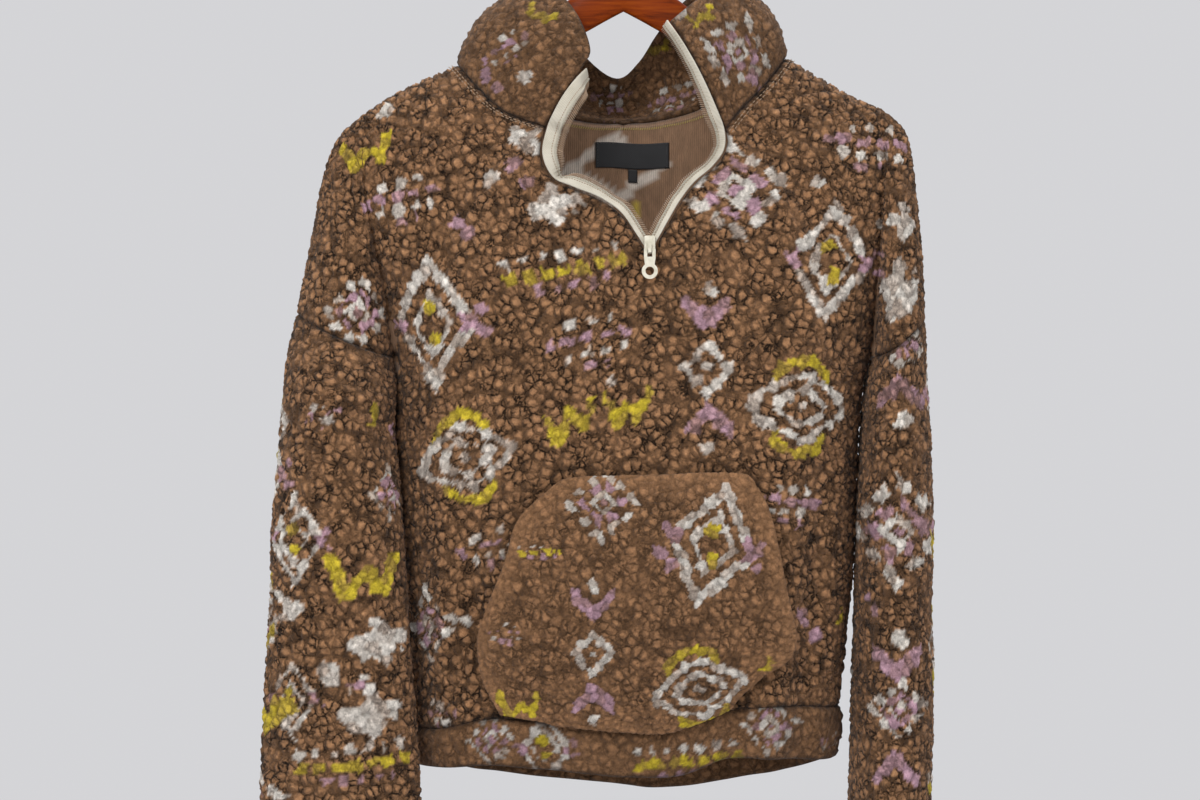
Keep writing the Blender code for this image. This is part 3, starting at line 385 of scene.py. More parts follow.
@dataclass(frozen=True)
class GarmentForm:
    """The garment's form as it hangs, in millimetres. fine is the number of steps in a cell of the solids."""

    torso_columns: int = 10
    arm_columns: int = 8
    crease_rows: int = 11
    lower_rows: int = 16
    front_neck_rows: int = 4
    back_neck_rows: int = 6
    sleeve_rows: int = 19
    collar_rows: int = 5
    band_rows: int = 2
    pocket_cells: int = 12
    roof_edge: float = 12.0
    front_reach: float = 78.0
    back_reach: float = 62.0
    roof_ease: float = 105.0
    neck_rise: float = 0.35
    side_round: float = 92.0
    side_slim: float = 1.4
    fold_fade: float = 26.0
    armhole_dip: float = 4.0
    slant_rows: int = 7
    band_draw_in: float = 0.975
    band_swell: float = 0.02
    probe: float = 1.5
    pocket_seat: float = 5.9
    pocket_mouth: float = 7.0
    pocket_swell: float = 15.0

    def outline_x(self, line: Rows, z: Array) -> Array:
        """The x of a falling line at height z."""
        curve = smooth_line(line)[::-1]
        return np.interp(z, curve[:, 1], curve[:, 0])

    def roof_z(self, x: Array) -> Array:
        """The height of the shoulder line over x, carried on across the open neck."""
        heights = []
        for side in Side:
            curve = smooth_line(SHOULDER_LINE[side])
            reach = np.abs(curve[:, 0])
            across = np.interp(np.abs(x), reach, curve[:, 1])
            neck = curve[0, 1] + self.neck_rise * np.clip(reach[0] - np.abs(x), 0, None)
            heights.append(np.where(np.abs(x) < reach[0], neck, across))
        return np.where(x < 0, heights[0], heights[1])

    def fold_height(self, face: Face, x: Array, z: Array) -> Array:
        """The soft folds' part of the depth."""
        total = np.zeros(np.broadcast(x, z).shape)
        for at_x, at_z, wide, long, depth, lean in FOLDS[face]:
            off = (x - at_x - lean * (z - at_z)) / wide
            total = total + depth * np.exp(-(off**2) - ((z - at_z) / long) ** 2)
        return total

    def depth(self, face: Face, x: Array, z: Array) -> Array:
        """How far a face of the body stands out from the middle plane.

        Args:
            face: The front or the back.
            x: The places across.
            z: The places up.

        Returns:
            The distances from the middle plane.
        """
        x, z = np.broadcast_arrays(np.asarray(x, float), np.asarray(z, float))
        below = np.clip(self.roof_z(x) - z, 0, None)
        reach = self.front_reach if face == Face.FRONT else self.back_reach
        roof = self.roof_edge * rounded(below / self.roof_edge)
        roof = roof + reach * (1 - np.exp(-below / self.roof_ease))
        side_depth = np.zeros(x.shape)
        fade = np.zeros(x.shape)
        floor = column(VALLEY, z, 1)
        belly = column(BELLY, z, 1 if face == Face.FRONT else 2)
        for side in Side:
            here = (x < 0) if side == Side.LEFT else (x >= 0)
            crease = np.abs(self.outline_x(CREASE[side] + SIDE_SEAM[side][1:], z))
            edge = np.maximum(np.abs(self.outline_x(SHOULDER_LINE[side], z)), crease + 1e-6)
            inside = crease - np.abs(x)
            body = floor + (belly - floor) * rounded(inside / self.side_round) ** self.side_slim
            out = np.clip(-inside / (edge - crease), 0, 1)
            swell = column(VALLEY, z, 2 if side == Side.LEFT else 3)
            arm = floor * (1 - out) + swell * np.sqrt(np.clip(1 - (2 * out - 1) ** 2, 0, 1))
            side_depth = np.where(here, np.where(inside >= 0, body, arm), side_depth)
            fade = np.where(here, np.clip(inside / self.fold_fade, 0, 1), fade)
        stands = roof * side_depth / np.maximum((roof**4 + side_depth**4) ** 0.25, 1e-6)
        return stands + self.fold_height(face, x, z) * fade * np.clip(below / self.fold_fade, 0, 1)

    def on_face(self, face: Face, flat: Array) -> Array:
        """Points in x, z lifted onto a face of the body."""
        x, z = flat[..., 0], flat[..., 1]
        return np.stack([x, int(face) * self.depth(face, x, z), z], axis=-1)

    def face_normal(self, face: Face, flat: Array) -> Array:
        """The outward direction of a face of the body."""
        run_x = self.on_face(face, flat + (self.probe, 0)) - self.on_face(face, flat - (self.probe, 0))
        run_z = self.on_face(face, flat + (0, self.probe)) - self.on_face(face, flat - (0, self.probe))
        return unit(np.cross(run_x, run_z) * -int(face))

    def shares(self, fine: int) -> Array:
        """Columns that stand closer together towards the body's side."""
        even = np.linspace(0, 1, self.torso_columns * fine + 1)
        return 0.5 * even + 0.5 * np.sin(even * math.pi / 2)

    def crease_points(self, side: Side, fine: int) -> Array:
        """The crease's points, closer together at the shoulder."""
        return along(smooth_line(CREASE[side]), np.linspace(0, 1, self.crease_rows * fine + 1) ** 1.3)

    def hem_line(self, face: Face, side: Side) -> Array:
        """The hem seam's x, z from the centre to the side."""
        centre = FRONT_CENTRE[-1] if face == Face.FRONT else BACK_CENTRE[-1]
        line = smooth_line(np.asarray(HEM[face], float)[:, :2])
        line = line[line[:, 0] * int(side) >= centre[0] * int(side)]
        return line[::-1] if side == Side.LEFT else line

    def torso_patch(self, face: Face, side: Side, fine: int = 1) -> Array:
        """Rows of x, z on one half of the front or back, inside the crease."""
        lower = evenly(SIDE_SEAM[side], self.lower_rows * fine)[1:]
        outer = np.vstack([self.crease_points(side, fine), lower])
        if face == Face.FRONT:
            neck = evenly(FRONT_NECK[side], self.front_neck_rows * fine)
            slit = evenly(SLIT_EDGE[side], (self.crease_rows - self.front_neck_rows) * fine)[1:]
            centre = evenly(FRONT_CENTRE, self.lower_rows * fine)[1:]
            inner = np.vstack([neck, slit, centre])
        else:
            neck = evenly(BACK_NECK[side], self.back_neck_rows * fine)
            rest = self.crease_rows + self.lower_rows - self.back_neck_rows
            inner = np.vstack([neck, evenly(BACK_CENTRE, rest * fine)[1:]])
        top = along(smooth_line(SHOULDER_LINE[side][: CREASE_START + 1]), self.shares(fine))
        bottom = along(self.hem_line(face, side), self.shares(fine))
        top[0], top[-1] = inner[0], outer[0]
        bottom[0], bottom[-1] = inner[-1], outer[-1]
        return patch_between(inner, outer, top, bottom, self.shares(fine))

    def arm_patch(self, side: Side, fine: int = 1) -> Array:
        """Rows of x, z on the dropped shoulder, from the crease out to the shoulder line."""
        crease = self.crease_points(side, fine)
        edge = evenly(SHOULDER_LINE[side][CREASE_START:], self.crease_rows * fine)
        turn = np.linspace(0, math.pi, self.arm_columns * fine + 1)
        out = ((1 - np.cos(turn)) / 2)[None, :, None]
        rows = crease[:, None] * (1 - out) + edge[:, None] * out
        down = np.linspace(0, 1, self.crease_rows * fine + 1)[:, None] ** 3
        rows[..., 1] -= self.armhole_dip * np.sin(turn) * down
        rows[:, 0], rows[:, -1] = crease, edge
        rows[0] = crease[0]
        return rows

    def panel_grids(self, face: Face, fine: int) -> list[tuple[Array, bool]]:
        """The front's or the back's patches, each with whether its faces are turned."""
        grids = []
        for side in Side:
            flip = int(side) * int(face) < 0
            grids.append((self.on_face(face, self.torso_patch(face, side, fine)), flip))
            grids.append((self.on_face(face, self.arm_patch(side, fine)), flip))
        return grids

    def sleeve_ring(self, side: Side, z: float, place: float, turn: Array, slant: float) -> Array:
        """One ring of a sleeve below the armhole."""
        outer, inner, middle, half = (column(SLEEVE[side], z, i) for i in range(1, 5))
        swell = np.zeros_like(turn)
        for at_z, at_turn, long, wide, height in SLEEVE_FOLDS[side]:
            off = (np.degrees(turn) - at_turn + 180) % 360 - 180
            swell += height * np.exp(-((off / wide) ** 2) - ((z - at_z) / long) ** 2)
        x = (outer + inner) / 2 + int(side) * (abs(outer - inner) / 2 + swell) * np.cos(turn)
        y = middle - (half + swell) * np.sin(turn)
        ease = max(0.0, 1 - place / self.slant_rows)
        return np.column_stack([x, y, z + slant * ease * np.cos(turn)])

    def sleeve_grid(self, side: Side, fine: int) -> Array:
        """Rings from the armhole to the sleeve's end."""
        seam = self.arm_patch(side, fine)[-1]
        front, back = self.on_face(Face.FRONT, seam), self.on_face(Face.BACK, seam)
        armhole = np.vstack([front[::-1], back[1:]])
        turn = np.linspace(0, 2 * math.pi, 2 * self.arm_columns * fine + 1)
        heights = np.asarray(SLEEVE[side], float)[:, :1] * (1, 0) + (0, 1)
        lengths = evenly(heights, self.sleeve_rows * fine)[:, 0]
        slant = (armhole[0, 2] - armhole[self.arm_columns * fine, 2]) / 2
        first = self.sleeve_ring(side, lengths[fine], 1.0, turn, slant)
        rings = []
        for row, z in enumerate(lengths):
            place = row / fine
            if place < 1:
                rings.append(armhole * (1 - place) + first * place)
            else:
                rings.append(self.sleeve_ring(side, z, place, turn, slant))
        grid = np.array(rings)
        grid[:, -1] = grid[:, 0]
        return grid

    def band_grid(self, fine: int) -> Array:
        """Rings of the hem band, from its seam to its lower edge."""
        half = {(face, side): self.torso_patch(face, side, fine)[-1] for face in Face for side in Side}
        front = np.vstack([half[Face.FRONT, Side.LEFT][::-1], half[Face.FRONT, Side.RIGHT][1:]])
        back = np.vstack([half[Face.BACK, Side.RIGHT][::-1], half[Face.BACK, Side.LEFT][1:]])
        seam = np.vstack([self.on_face(Face.FRONT, front), self.on_face(Face.BACK, back)[1:]])
        is_front = np.arange(len(seam)) <= 2 * self.torso_columns * fine
        lower = seam * (self.band_draw_in, self.band_draw_in, 1)
        for face, mask in ((Face.FRONT, is_front), (Face.BACK, ~is_front)):
            line = smooth_line(HEM[face])
            lower[mask, 2] = np.interp(seam[mask, 0], line[:, 0], line[:, 2])
        rings = []
        for share in np.linspace(0, 1, self.band_rows * fine + 1):
            ring = seam * (1 - share) + lower * share
            swell = 1 + self.band_swell * math.sin(math.pi * share)
            rings.append(ring * (swell, swell, 1))
        grid = np.array(rings)
        grid[:, -1] = grid[:, 0]
        return grid

    def neck_seam(self, fine: int) -> Array:
        """The neck seam from the left zip edge round the back to the right one."""
        front_rows, back_rows = self.front_neck_rows * fine + 1, self.back_neck_rows * fine + 1
        spans = []
        for face, side, rows in (
            (Face.FRONT, Side.LEFT, front_rows), (Face.BACK, Side.LEFT, back_rows),
            (Face.BACK, Side.RIGHT, back_rows), (Face.FRONT, Side.RIGHT, front_rows),
        ):
            spans.append(self.on_face(face, self.torso_patch(face, side, fine)[:rows, 0]))
        return np.vstack([spans[0][::-1], spans[1][1:], spans[2][::-1][1:], spans[3][1:]])

    def collar_grid(self, fine: int = 1) -> Array:
        """Rows from the collar's top edge down to the neck seam."""
        base = self.neck_seam(fine)
        place = np.arange(len(base)) / fine
        line = smooth_line(COLLAR_TOP)
        top = np.column_stack([np.interp(place, line[:, 0], values) for values in line[:, 1:4].T])
        swell = np.interp(place, line[:, 0], line[:, 4])
        rise = top - base
        out = unit(np.cross(rise, np.gradient(base, axis=0)))
        grid = []
        for share in np.linspace(1, 0, self.collar_rows * fine + 1):
            grid.append(base + rise * share + (4 * share * (1 - share)) * swell[:, None] * out)
        return np.array(grid)

    def pocket_grid(self, fine: int) -> Array:
        """The pocket's outer face: the front's points, moved out and swelled."""
        count = self.pocket_cells * fine
        even = np.linspace(0, 1, count + 1)
        edges = [evenly(rows, count) for rows in (POCKET_LEFT, POCKET_RIGHT, POCKET_TOP, POCKET_BOTTOM)]
        flat = patch_between(*edges, even)
        fall = np.sin(math.pi * even[:, None]).clip(0) ** 0.6
        reach = np.sin(math.pi * even[None, :]).clip(0) ** 0.7
        lift = self.pocket_seat + fall * (self.pocket_mouth + self.pocket_swell * reach)
        return self.on_face(Face.FRONT, flat) + self.face_normal(Face.FRONT, flat) * lift[..., None]

    def zip_edge(self, side: Side) -> tuple[Array, Array]:
        """The edge that a tape is sewn to, and the line of cloth beside it."""
        lines = []
        for step in (0, 1):
            collar = self.collar_grid()[:, step if side == Side.LEFT else -1 - step]
            slit = self.torso_patch(Face.FRONT, side)[self.front_neck_rows : self.crease_rows + 1, step]
            lines.append(smooth_line(np.vstack([collar, self.on_face(Face.FRONT, slit)[1:]]), 6))
        return lines[0], lines[1]


def corners_of(quad: Array | list[int]) -> list[int]:
    """A face's corners, with one that stands twice in a row left out."""
    return [corner for place, corner in enumerate(quad) if corner != quad[place - 1]]


def linked(name: str, data: bpy.types.ID) -> bpy.types.Object:
    """A named object on its data, put in the scene."""
    made = bpy.data.objects.new(name, data)
    bpy.context.scene.collection.objects.link(made)
    return made


def patch_between(inner: Array, outer: Array, top: Array, bottom: Array, across: Array) -> Array:
    """A patch of x, z between two falling edges and two crossing ones.

    Args:
        inner: The falling edge at the first column.
        outer: The falling edge at the last column.
        top: The crossing edge at the first row.
        bottom: The crossing edge at the last row.
        across: The columns' shares of the way across.

    Returns:
        The patch's points, row by row.
    """
    down = np.linspace(0, 1, len(inner))[:, None, None]
    over = across[None, :, None]
    sides = (1 - over) * inner[:, None] + over * outer[:, None]
    ends = (1 - down) * top[None] + down * bottom[None]
    high = (1 - over) * top[0] + over * top[-1]
    low = (1 - over) * bottom[0] + over * bottom[-1]
    corners = (1 - down) * high + down * low
    patch = sides + ends - corners
    patch[0], patch[-1] = top, bottom
    patch[:, 0], patch[:, -1] = inner, outer
    return patch


@dataclass
class Sheet:
    """A cloth piece's outer face in millimetres, with the directions out of it."""

    points: Array
    quads: Array
    grids: list[Array]
    flips: list[bool]
    normals: Array | None = None

    @classmethod
    def from_grids(cls, grids: list[tuple[Array, bool]]) -> "Sheet":
        """Patches of points as one sheet, with points at one place made one.

        Args:
            grids: Each patch's rows of points, and whether its faces are turned.

        Returns:
            The sheet.
        """
        stacked = np.vstack([grid.reshape(-1, 3) for grid, _ in grids])
        _, first, index = np.unique(np.round(stacked, 3), axis=0, return_index=True, return_inverse=True)
        index = index.reshape(-1)
        numbers, start = [], 0
        for grid, _ in grids:
            rows, columns = grid.shape[:2]
            numbers.append(index[start : start + rows * columns].reshape(rows, columns))
            start += rows * columns
        flips = [flip for _, flip in grids]
        sheet = cls(stacked[first], np.empty((0, 4), int), numbers, flips)
        sheet.quads = sheet.faces(1)
        return sheet

    def faces(self, step: int) -> Array:
        """The faces between every step-th point. A triangle's last corner stands twice."""
        found = []
        for grid, flip in zip(self.grids, self.flips):
            cut = grid[::step, ::step]
            quads = np.stack([cut[:-1, :-1], cut[:-1, 1:], cut[1:, 1:], cut[1:, :-1]], axis=-1).reshape(-1, 4)
            found.append(quads[:, ::-1] if flip else quads)
        tidy = []
        for quad in np.vstack(found):
            ring = corners_of(quad)
            if len(ring) == 4:
                tidy.append(ring)
            elif len(ring) == 3:
                tidy.append([*ring, ring[-1]])
        return np.array(tidy)

    def finer(self, times: tuple[int, int]) -> "Sheet":
        """The sheet with each step down and across cut into more, and its directions kept."""
        made = []
        for grid in self.grids:
            values = np.concatenate([self.points, self.normals], axis=1)[grid]
            for axis in (0, 1):
                count = values.shape[axis]
                spots = np.linspace(0, count - 1, (count - 1) * times[axis] + 1)
                low = np.minimum(spots.astype(int), count - 2)
                part = (spots - low).reshape((-1, 1, 1) if axis == 0 else (1, -1, 1))
                values = values.take(low, axis) * (1 - part) + values.take(low + 1, axis) * part
            made.append(values)
        sheet = Sheet.from_grids([(values[..., :3], flip) for values, flip in zip(made, self.flips)])
        sheet.normals = np.zeros_like(sheet.points)
        for numbers, values in zip(sheet.grids, made):
            sheet.normals[numbers] = unit(values[..., 3:])
        return sheet

    def rim(self, quads: Array) -> dict[int, int]:
        """The open edges of some of the sheet's faces, as each point's next one."""
        edges = set()
        for quad in quads:
            ring = corners_of(quad)
            edges.update(zip(ring, ring[1:] + ring[:1]))
        return {a: b for a, b in edges if (b, a) not in edges}


def corner_normals(points: Array, quads: Array) -> Array:
    """The outward direction at each point, from the faces round it."""
    flat = np.cross(points[quads[:, 2]] - points[quads[:, 0]], points[quads[:, 3]] - points[quads[:, 1]])
    total = np.zeros_like(points)
    for corner in range(4):
        np.add.at(total, quads[:, corner], flat)
    return unit(total)


def sew(sheets: list[Sheet]) -> None:
    """Gives the sheets their directions, worked out with all of them joined, so that seams agree."""
    points = np.vstack([sheet.points for sheet in sheets])
    starts = np.cumsum([0] + [len(sheet.points) for sheet in sheets])
    quads = np.vstack([sheet.quads + start for sheet, start in zip(sheets, starts)])
    keys, index = np.unique(np.round(points, 2), axis=0, return_inverse=True)
    index = index.reshape(-1)
    normals = corner_normals(keys, index[quads])[index]
    for sheet, start, end in zip(sheets, starts, starts[1:]):
        sheet.normals = normals[start:end]


def tree_over(points: Array) -> KDTree:
    """A search tree over points."""
    tree = KDTree(len(points))
    for number, point in enumerate(points):
        tree.insert(point, number)
    tree.balance()
    return tree


@dataclass(frozen=True)
class Pile:
    """The curls of a sherpa pile, in millimetres: their spacing, the depth between them and their gap.

    shade is how light the painted shade leaves the gaps beside the tops, light how light the whole is, and
    edge how light the painted shade leaves the piece's rim. Nearer to the rim than calm the curls are drawn
    more softly.
    rough is the unevenness of their tops, warp that of their outline, and crisp how strongly the shader draws
    their gaps' painted shade and their bump.
    """

    spacing: float = 7.6
    deep: float = 3.4
    gap: float = 4.4
    stretch: float = 1.5
    shade: float = 0.72
    light: float = 1.0
    edge: float = 0.4
    calm: float = 0.0
    rough: float = 0.42
    warp: float = 1.3
    crisp: float = 1.0
    spread: Pair = (0.86, 0.3)
    waves: Pair = (4.3, 6.1)
    wave_start: tuple[float, float, float] = (0.3, 1.9, 4.0)
    seed: int = 3

    def curls(self, points: Array, normals: Array) -> tuple[Array, Array, Array]:
        """Grows curls over a face.

        Args:
            points: The face's points.
            normals: Its outward directions.

        Returns:
            Each point's height from 0 between curls to 1 on top, its curl's middle, and a number from 0 to 1
            that is the same all over a curl.
        """
        chance = np.random.default_rng(self.seed)
        tree = tree_over(points)
        taken = np.zeros(len(points), bool)
        middles = []
        for number in chance.permutation(len(points)):
            if taken[number]:
                continue
            middles.append(number)
            reach = self.spacing * (self.spread[0] + self.spread[1] * chance.random())
            for _, near, _ in tree.find_range(points[number], reach):
                taken[near] = True
        middles = np.array(middles)
        lie = unit(np.cross(chance.normal(size=(len(middles), 3)), normals[middles]))
        wave = points[:, [1, 2, 0]] / self.waves[0] + points[:, [2, 0, 1]] / self.waves[1]
        moved = points + self.warp * np.sin(wave + self.wave_start)
        seeds = tree_over(points[middles])
        nearest = np.array([[near for _, near, _ in seeds.find_n(point, 4)] for point in moved])
        off = moved[:, None] - points[middles][nearest]
        run = (off * lie[nearest]).sum(axis=-1)
        far = np.sqrt(np.maximum((off**2).sum(axis=-1) - run**2 * (1 - 1 / self.stretch**2), 0))
        order = np.argsort(far, axis=1)
        far = np.take_along_axis(far, order, axis=1)
        own = np.take_along_axis(nearest, order, axis=1)[:, 0]
        top = rounded((far[:, 1] - far[:, 0]) / self.gap)
        return top, points[middles][own], chance.random(len(middles))[own]


class Motif:
    """The print's motifs. Each takes places across and up in millimetres and says which yarn lies there."""

    half_line = 4.4

    @staticmethod
    def laid(*layers: tuple[Array, Yarn]) -> Array:
        """Yarns laid one over another, each where its places are marked."""
        yarn = np.zeros(layers[0][0].shape, int)
        for mask, colour in layers:
            yarn[mask] = colour
        return yarn

    @staticmethod
    def near(a: Array, b: Array, line: Rows, half: float) -> Array:
        """Whether places lie within half of a line through points."""
        found = np.zeros(a.shape, bool)
        for (ax, ay), (bx, by) in zip(line, line[1:]):
            length = (bx - ax) ** 2 + (by - ay) ** 2
            share = np.clip(((a - ax) * (bx - ax) + (b - ay) * (by - ay)) / max(length, 1e-6), 0, 1)
            found |= np.hypot(a - ax - share * (bx - ax), b - ay - share * (by - ay)) < half
        return found

    @staticmethod
    def spots(a: Array, b: Array, *rounds: tuple[float, float, float]) -> Array:
        """Whether places lie in one of some round spots, each given by its middle and radius."""
        found = np.zeros(a.shape, bool)
        for x, y, radius in rounds:
            found |= np.hypot(a - x, b - y) < radius
        return found

    @staticmethod
    def wedge(a: Array, b: Array) -> Array:
        """Whether places lie in a filled V."""
        return (b < np.abs(a) * 0.7 + 3) & (b > np.abs(a) * 0.95 - 15) & (np.abs(a) < 21)

    def lozenge(self, a: Array, b: Array) -> Array:
        """Two standing diamonds, one in the other, with two spots and side points."""
        level = np.abs(a) / 36 + np.abs(b) / 50
        outer = np.abs(level - 1) * 29 < self.half_line
        return self.laid(
            (outer, Yarn.WHITE), (np.abs(level - 0.52) * 29 < 2.7, Yarn.WHITE),
            (outer & (np.abs(b) < 7), Yarn.PINK),
            (self.spots(a, b, (-3, 13, 6.8), (3, -13, 6.8)), Yarn.YELLOW),
            (self.spots(a, b, (42, 12, 4.5), (44, -8, 4.5), (-43, 4, 4.5)), Yarn.PINK),
        )

    def eye(self, a: Array, b: Array) -> Array:
        """Lying ovals, one in the other, between two yellow arcs."""
        level = (np.abs(a / 40) ** 1.35 + np.abs(b / 25) ** 1.35) ** (1 / 1.35)
        arc = np.abs(np.hypot(a / 30, b / 36) - 1) * 33 < 4.0
        return self.laid(
            (arc & (np.abs(a) < 24), Yarn.YELLOW), (np.abs(level - 1) * 27 < 3.5, Yarn.WHITE),
            (np.abs(level - 0.55) * 27 < 2.8, Yarn.WHITE), (self.spots(a, b, (0, 0, 4.6)), Yarn.WHITE),
        )

    def zigzag(self, a: Array, b: Array) -> Array:
        """Two yellow zigzags in a row, with a white dot over them."""
        first = ((-44, 3), (-33, -19), (-24, 9), (-12, -11), (-3, 14))
        second = ((8, 15), (17, -8), (25, 9), (33, -4), (44, 18))
        lines = self.near(a, b, first, 3.7) | self.near(a, b, second, 3.7)
        return self.laid((lines, Yarn.YELLOW), (self.spots(a, b, (14, 30, 4.6)), Yarn.WHITE))

    def bolt(self, a: Array, b: Array) -> Array:
        """One short yellow zigzag."""
        line = ((-24, 14), (-16, -14), (2, 2), (12, -12), (23, 10))
        return self.laid((self.near(a, b, line, 4.6), Yarn.YELLOW))

    def dashes(self, a: Array, b: Array) -> Array:
        """A yellow broken line with white dots over it and pink ones under."""
        inside = np.abs(a) < 52
        step = np.mod(a + 52, 15.0)
        return self.laid(
            (inside & (np.abs(b) < 4.6) & (step < 12.5), Yarn.YELLOW),
            (inside & (np.abs(b - 13) < 4.0) & (step < 7.5), Yarn.WHITE),
            ((np.abs(a) < 34) & (np.abs(b + 13) < 4.0) & (step > 6.5), Yarn.PINK),
        )

    def rows(self, a: Array, b: Array) -> Array:
        """Pink dashes between rows of white dots."""
        step = np.mod(a + 60, 17.0)
        return self.laid(
            ((np.abs(b) < 4.4) & (np.abs(a) < 38) & (step < 12), Yarn.PINK),
            ((np.abs(b - 13) < 4.2) & (np.abs(a) < 24) & (step > 8), Yarn.WHITE),
            ((np.abs(b + 13) < 4.2) & (np.abs(a) < 30) & (step < 9), Yarn.WHITE),
            ((np.abs(b + 23) < 4.0) & (np.abs(a) < 14) & (step < 10), Yarn.PINK),
        )

    def vee(self, a: Array, b: Array) -> Array:
        """A filled pink V."""
        return self.laid((self.wedge(a, b), Yarn.PINK))

    def tent(self, a: Array, b: Array) -> Array:
        """A filled pink V the other way up."""
        return self.vee(a, -b)

    def column(self, a: Array, b: Array) -> Array:
        """A dot, a pink V, a small white diamond, a pink V upside down and a dot, one under another."""
        level = np.abs(a) / 20 + np.abs(b) / 22
        return self.laid(
            (np.abs(level - 0.9) * 15 < 3.6, Yarn.WHITE),
            (self.spots(a, b, (0, 0, 4.4), (2, 66, 6), (-1, -66, 5.5)), Yarn.WHITE),
            (self.wedge(a, b - 46) | self.wedge(a, -(b + 42)), Yarn.PINK),
        )

    def dotted(self, a: Array, b: Array) -> Array:
        """Rings of white and pink dots round a pink middle, on a diamond."""
        level = np.abs(a) / 40 + np.abs(b) / 42
        turn = np.arctan2(b, a)
        return self.laid(
            ((np.abs(level - 1) * 29 < 4.6) & (np.sin(turn * 10) > -0.45), Yarn.WHITE),
            ((np.abs(level - 0.62) * 29 < 4.0) & (np.sin(turn * 6 + 1) > -0.5), Yarn.PINK),
            (np.abs(level - 0.3) * 29 < 3.0, Yarn.WHITE), (level < 0.14, Yarn.PINK),
        )

    def patch(self, a: Array, b: Array) -> Array:
        """A broken white lozenge."""
        edge = 1 + 0.16 * np.sin(a / 3.1 + 1) + 0.14 * np.sin(b / 2.3)
        return self.laid((np.abs(a) / 26 + np.abs(b) / 19 < edge, Yarn.WHITE))

    def ring(self, a: Array, b: Array) -> Array:
        """A lying diamond's outline, with one yellow spot below it."""
        level = np.abs(a) / 42 + np.abs(b) / 27
        spot = self.spots(a, b, (17, -37, 5.5))
        return self.laid((np.abs(level - 1) * 22 < 4.6, Yarn.WHITE), (spot, Yarn.YELLOW))

    def white_dot(self, a: Array, b: Array) -> Array:
        """One white dot."""
        return self.laid((self.spots(a, b, (0, 0, 6.4)), Yarn.WHITE))

    def pink_dot(self, a: Array, b: Array) -> Array:
        """Two pink dots."""
        return self.laid((self.spots(a, b, (-3, 2, 5.6), (6, -8, 4.8)), Yarn.PINK))


@dataclass(frozen=True)
class Camera:
    """Where the photograph was taken from, in metres, and its picture's width on the garment."""

    place: tuple[float, float, float] = (-0.0204, -2.25, -0.4445)
    focus: float = 2.2
    wide: float = 1.02
    sensor: float = 36.0
    pixels: tuple[int, int] = (1200, 800)

    def pixel(self, points: Array, view: View) -> Array:
        """The pixels of points in millimetres, seen from the front or from a like place behind."""
        x, y, z = points.T
        turn = 1 if view == View.FRONT else -1
        per = self.wide / self.pixels[0] / self.focus * (-self.place[1] / MM + turn * y)
        across = turn * (x - self.place[0] / MM) / per + self.pixels[0] / 2
        return np.column_stack([across, self.pixels[1] / 2 - (z - self.place[2] / MM) / per])

    def build(self) -> None:
        """Sets the camera up."""
        data = bpy.data.cameras.new("camera")
        data.sensor_width = self.sensor
        data.lens = self.sensor * self.focus / self.wide
        camera = linked("camera", data)
        camera.location = self.place
        camera.rotation_euler = (math.pi / 2, 0, 0)
        bpy.context.scene.camera = camera


@dataclass(frozen=True)
class Printing:
    """Lays the print over a piece's curls."""

    camera: Camera
    motif: Motif = field(default_factory=Motif)
    reach: float = 80.0
    least: float = 0.6
    facing: float = 0.12
    turned_away: float = 400.0
    nearer: float = 0.05

    def middle(self, view: View, across: float, up: float, points: Array, normals: Array) -> int:
        """The number of the point that lies under a place in a view."""
        if view in (View.FRONT, View.BACK):
            seen = self.camera.pixel(points, view)
            facing = normals[:, 1] * (-1 if view == View.FRONT else 1)
            near = points[:, 1] * (1 if view == View.FRONT else -1)
        else:
            seen = points[:, 1:]
            facing = normals[:, 0] * (-1 if view == View.LEFT else 1)
            near = points[:, 0] * (1 if view == View.LEFT else -1)
        away = np.hypot(seen[:, 0] - across, seen[:, 1] - up)
        away = away + np.where(facing > self.facing, 0, self.turned_away) + self.nearer * near
        return int(np.argmin(away))

    def yarns(self, places: dict, piece: str, points: Array, normals: Array, at: Array) -> Array:
        """Which yarn each place of a face is.

        Args:
            places: The table of motifs.
            piece: The piece's name.
            points: The face's points.
            normals: Its outward directions.
            at: Where each point's yarn is read, usually near its curl's middle.

        Returns:
            The yarns' numbers.
        """
        found = np.zeros(len(points), int)
        placed = [(view, *row) for (name, view), rows in places.items() if name == piece for row in rows]
        for view, across, up, kind, size, tilt in placed:
            number = self.middle(view, across, up, points, normals)
            out = normals[number]
            rise = unit(np.array([0, 0, 1.0]) - out * out[2])
            run = np.cross(rise, out)
            off = at - points[number]
            mask = (np.linalg.norm(off, axis=1) < self.reach * max(size, self.least)) & (normals @ out > 0.1)
            a, b = off[mask] @ run / size, off[mask] @ rise / size
            cosine, sine = math.cos(math.radians(tilt)), math.sin(math.radians(tilt))
            made = getattr(self.motif, kind.replace(" ", "_"))(a * cosine + b * sine, b * cosine - a * sine)
            found[mask] = np.where(made > 0, made, found[mask])
        return found


def linear(colour: str) -> tuple[float, float, float, float]:
    """A colour in sRGB hex as linear light."""
    parts = [int(colour[place : place + 2], 16) / 255 for place in (1, 3, 5)]
    return (*(part / 12.92 if part <= 0.04045 else ((part + 0.055) / 1.055) ** 2.4 for part in parts), 1.0)


def add_node(tree: bpy.types.NodeTree, kind: str, settings: dict, links: dict) -> bpy.types.Node:
    """Adds a node to a tree.

    Args:
        tree: The tree.
        kind: The node's type.
        settings: Its properties and its inputs' values, by name.
        links: The sockets that feed its inputs, by the input's name or number.

    Returns:
        The node.
    """
    node = tree.nodes.new(kind)
    for name, value in settings.items():
        if isinstance(name, str) and hasattr(node, name):
            setattr(node, name, value)
        else:
            node.inputs[name].default_value = value
    for name, socket in links.items():
        tree.links.new(socket, node.inputs[name])
    return node


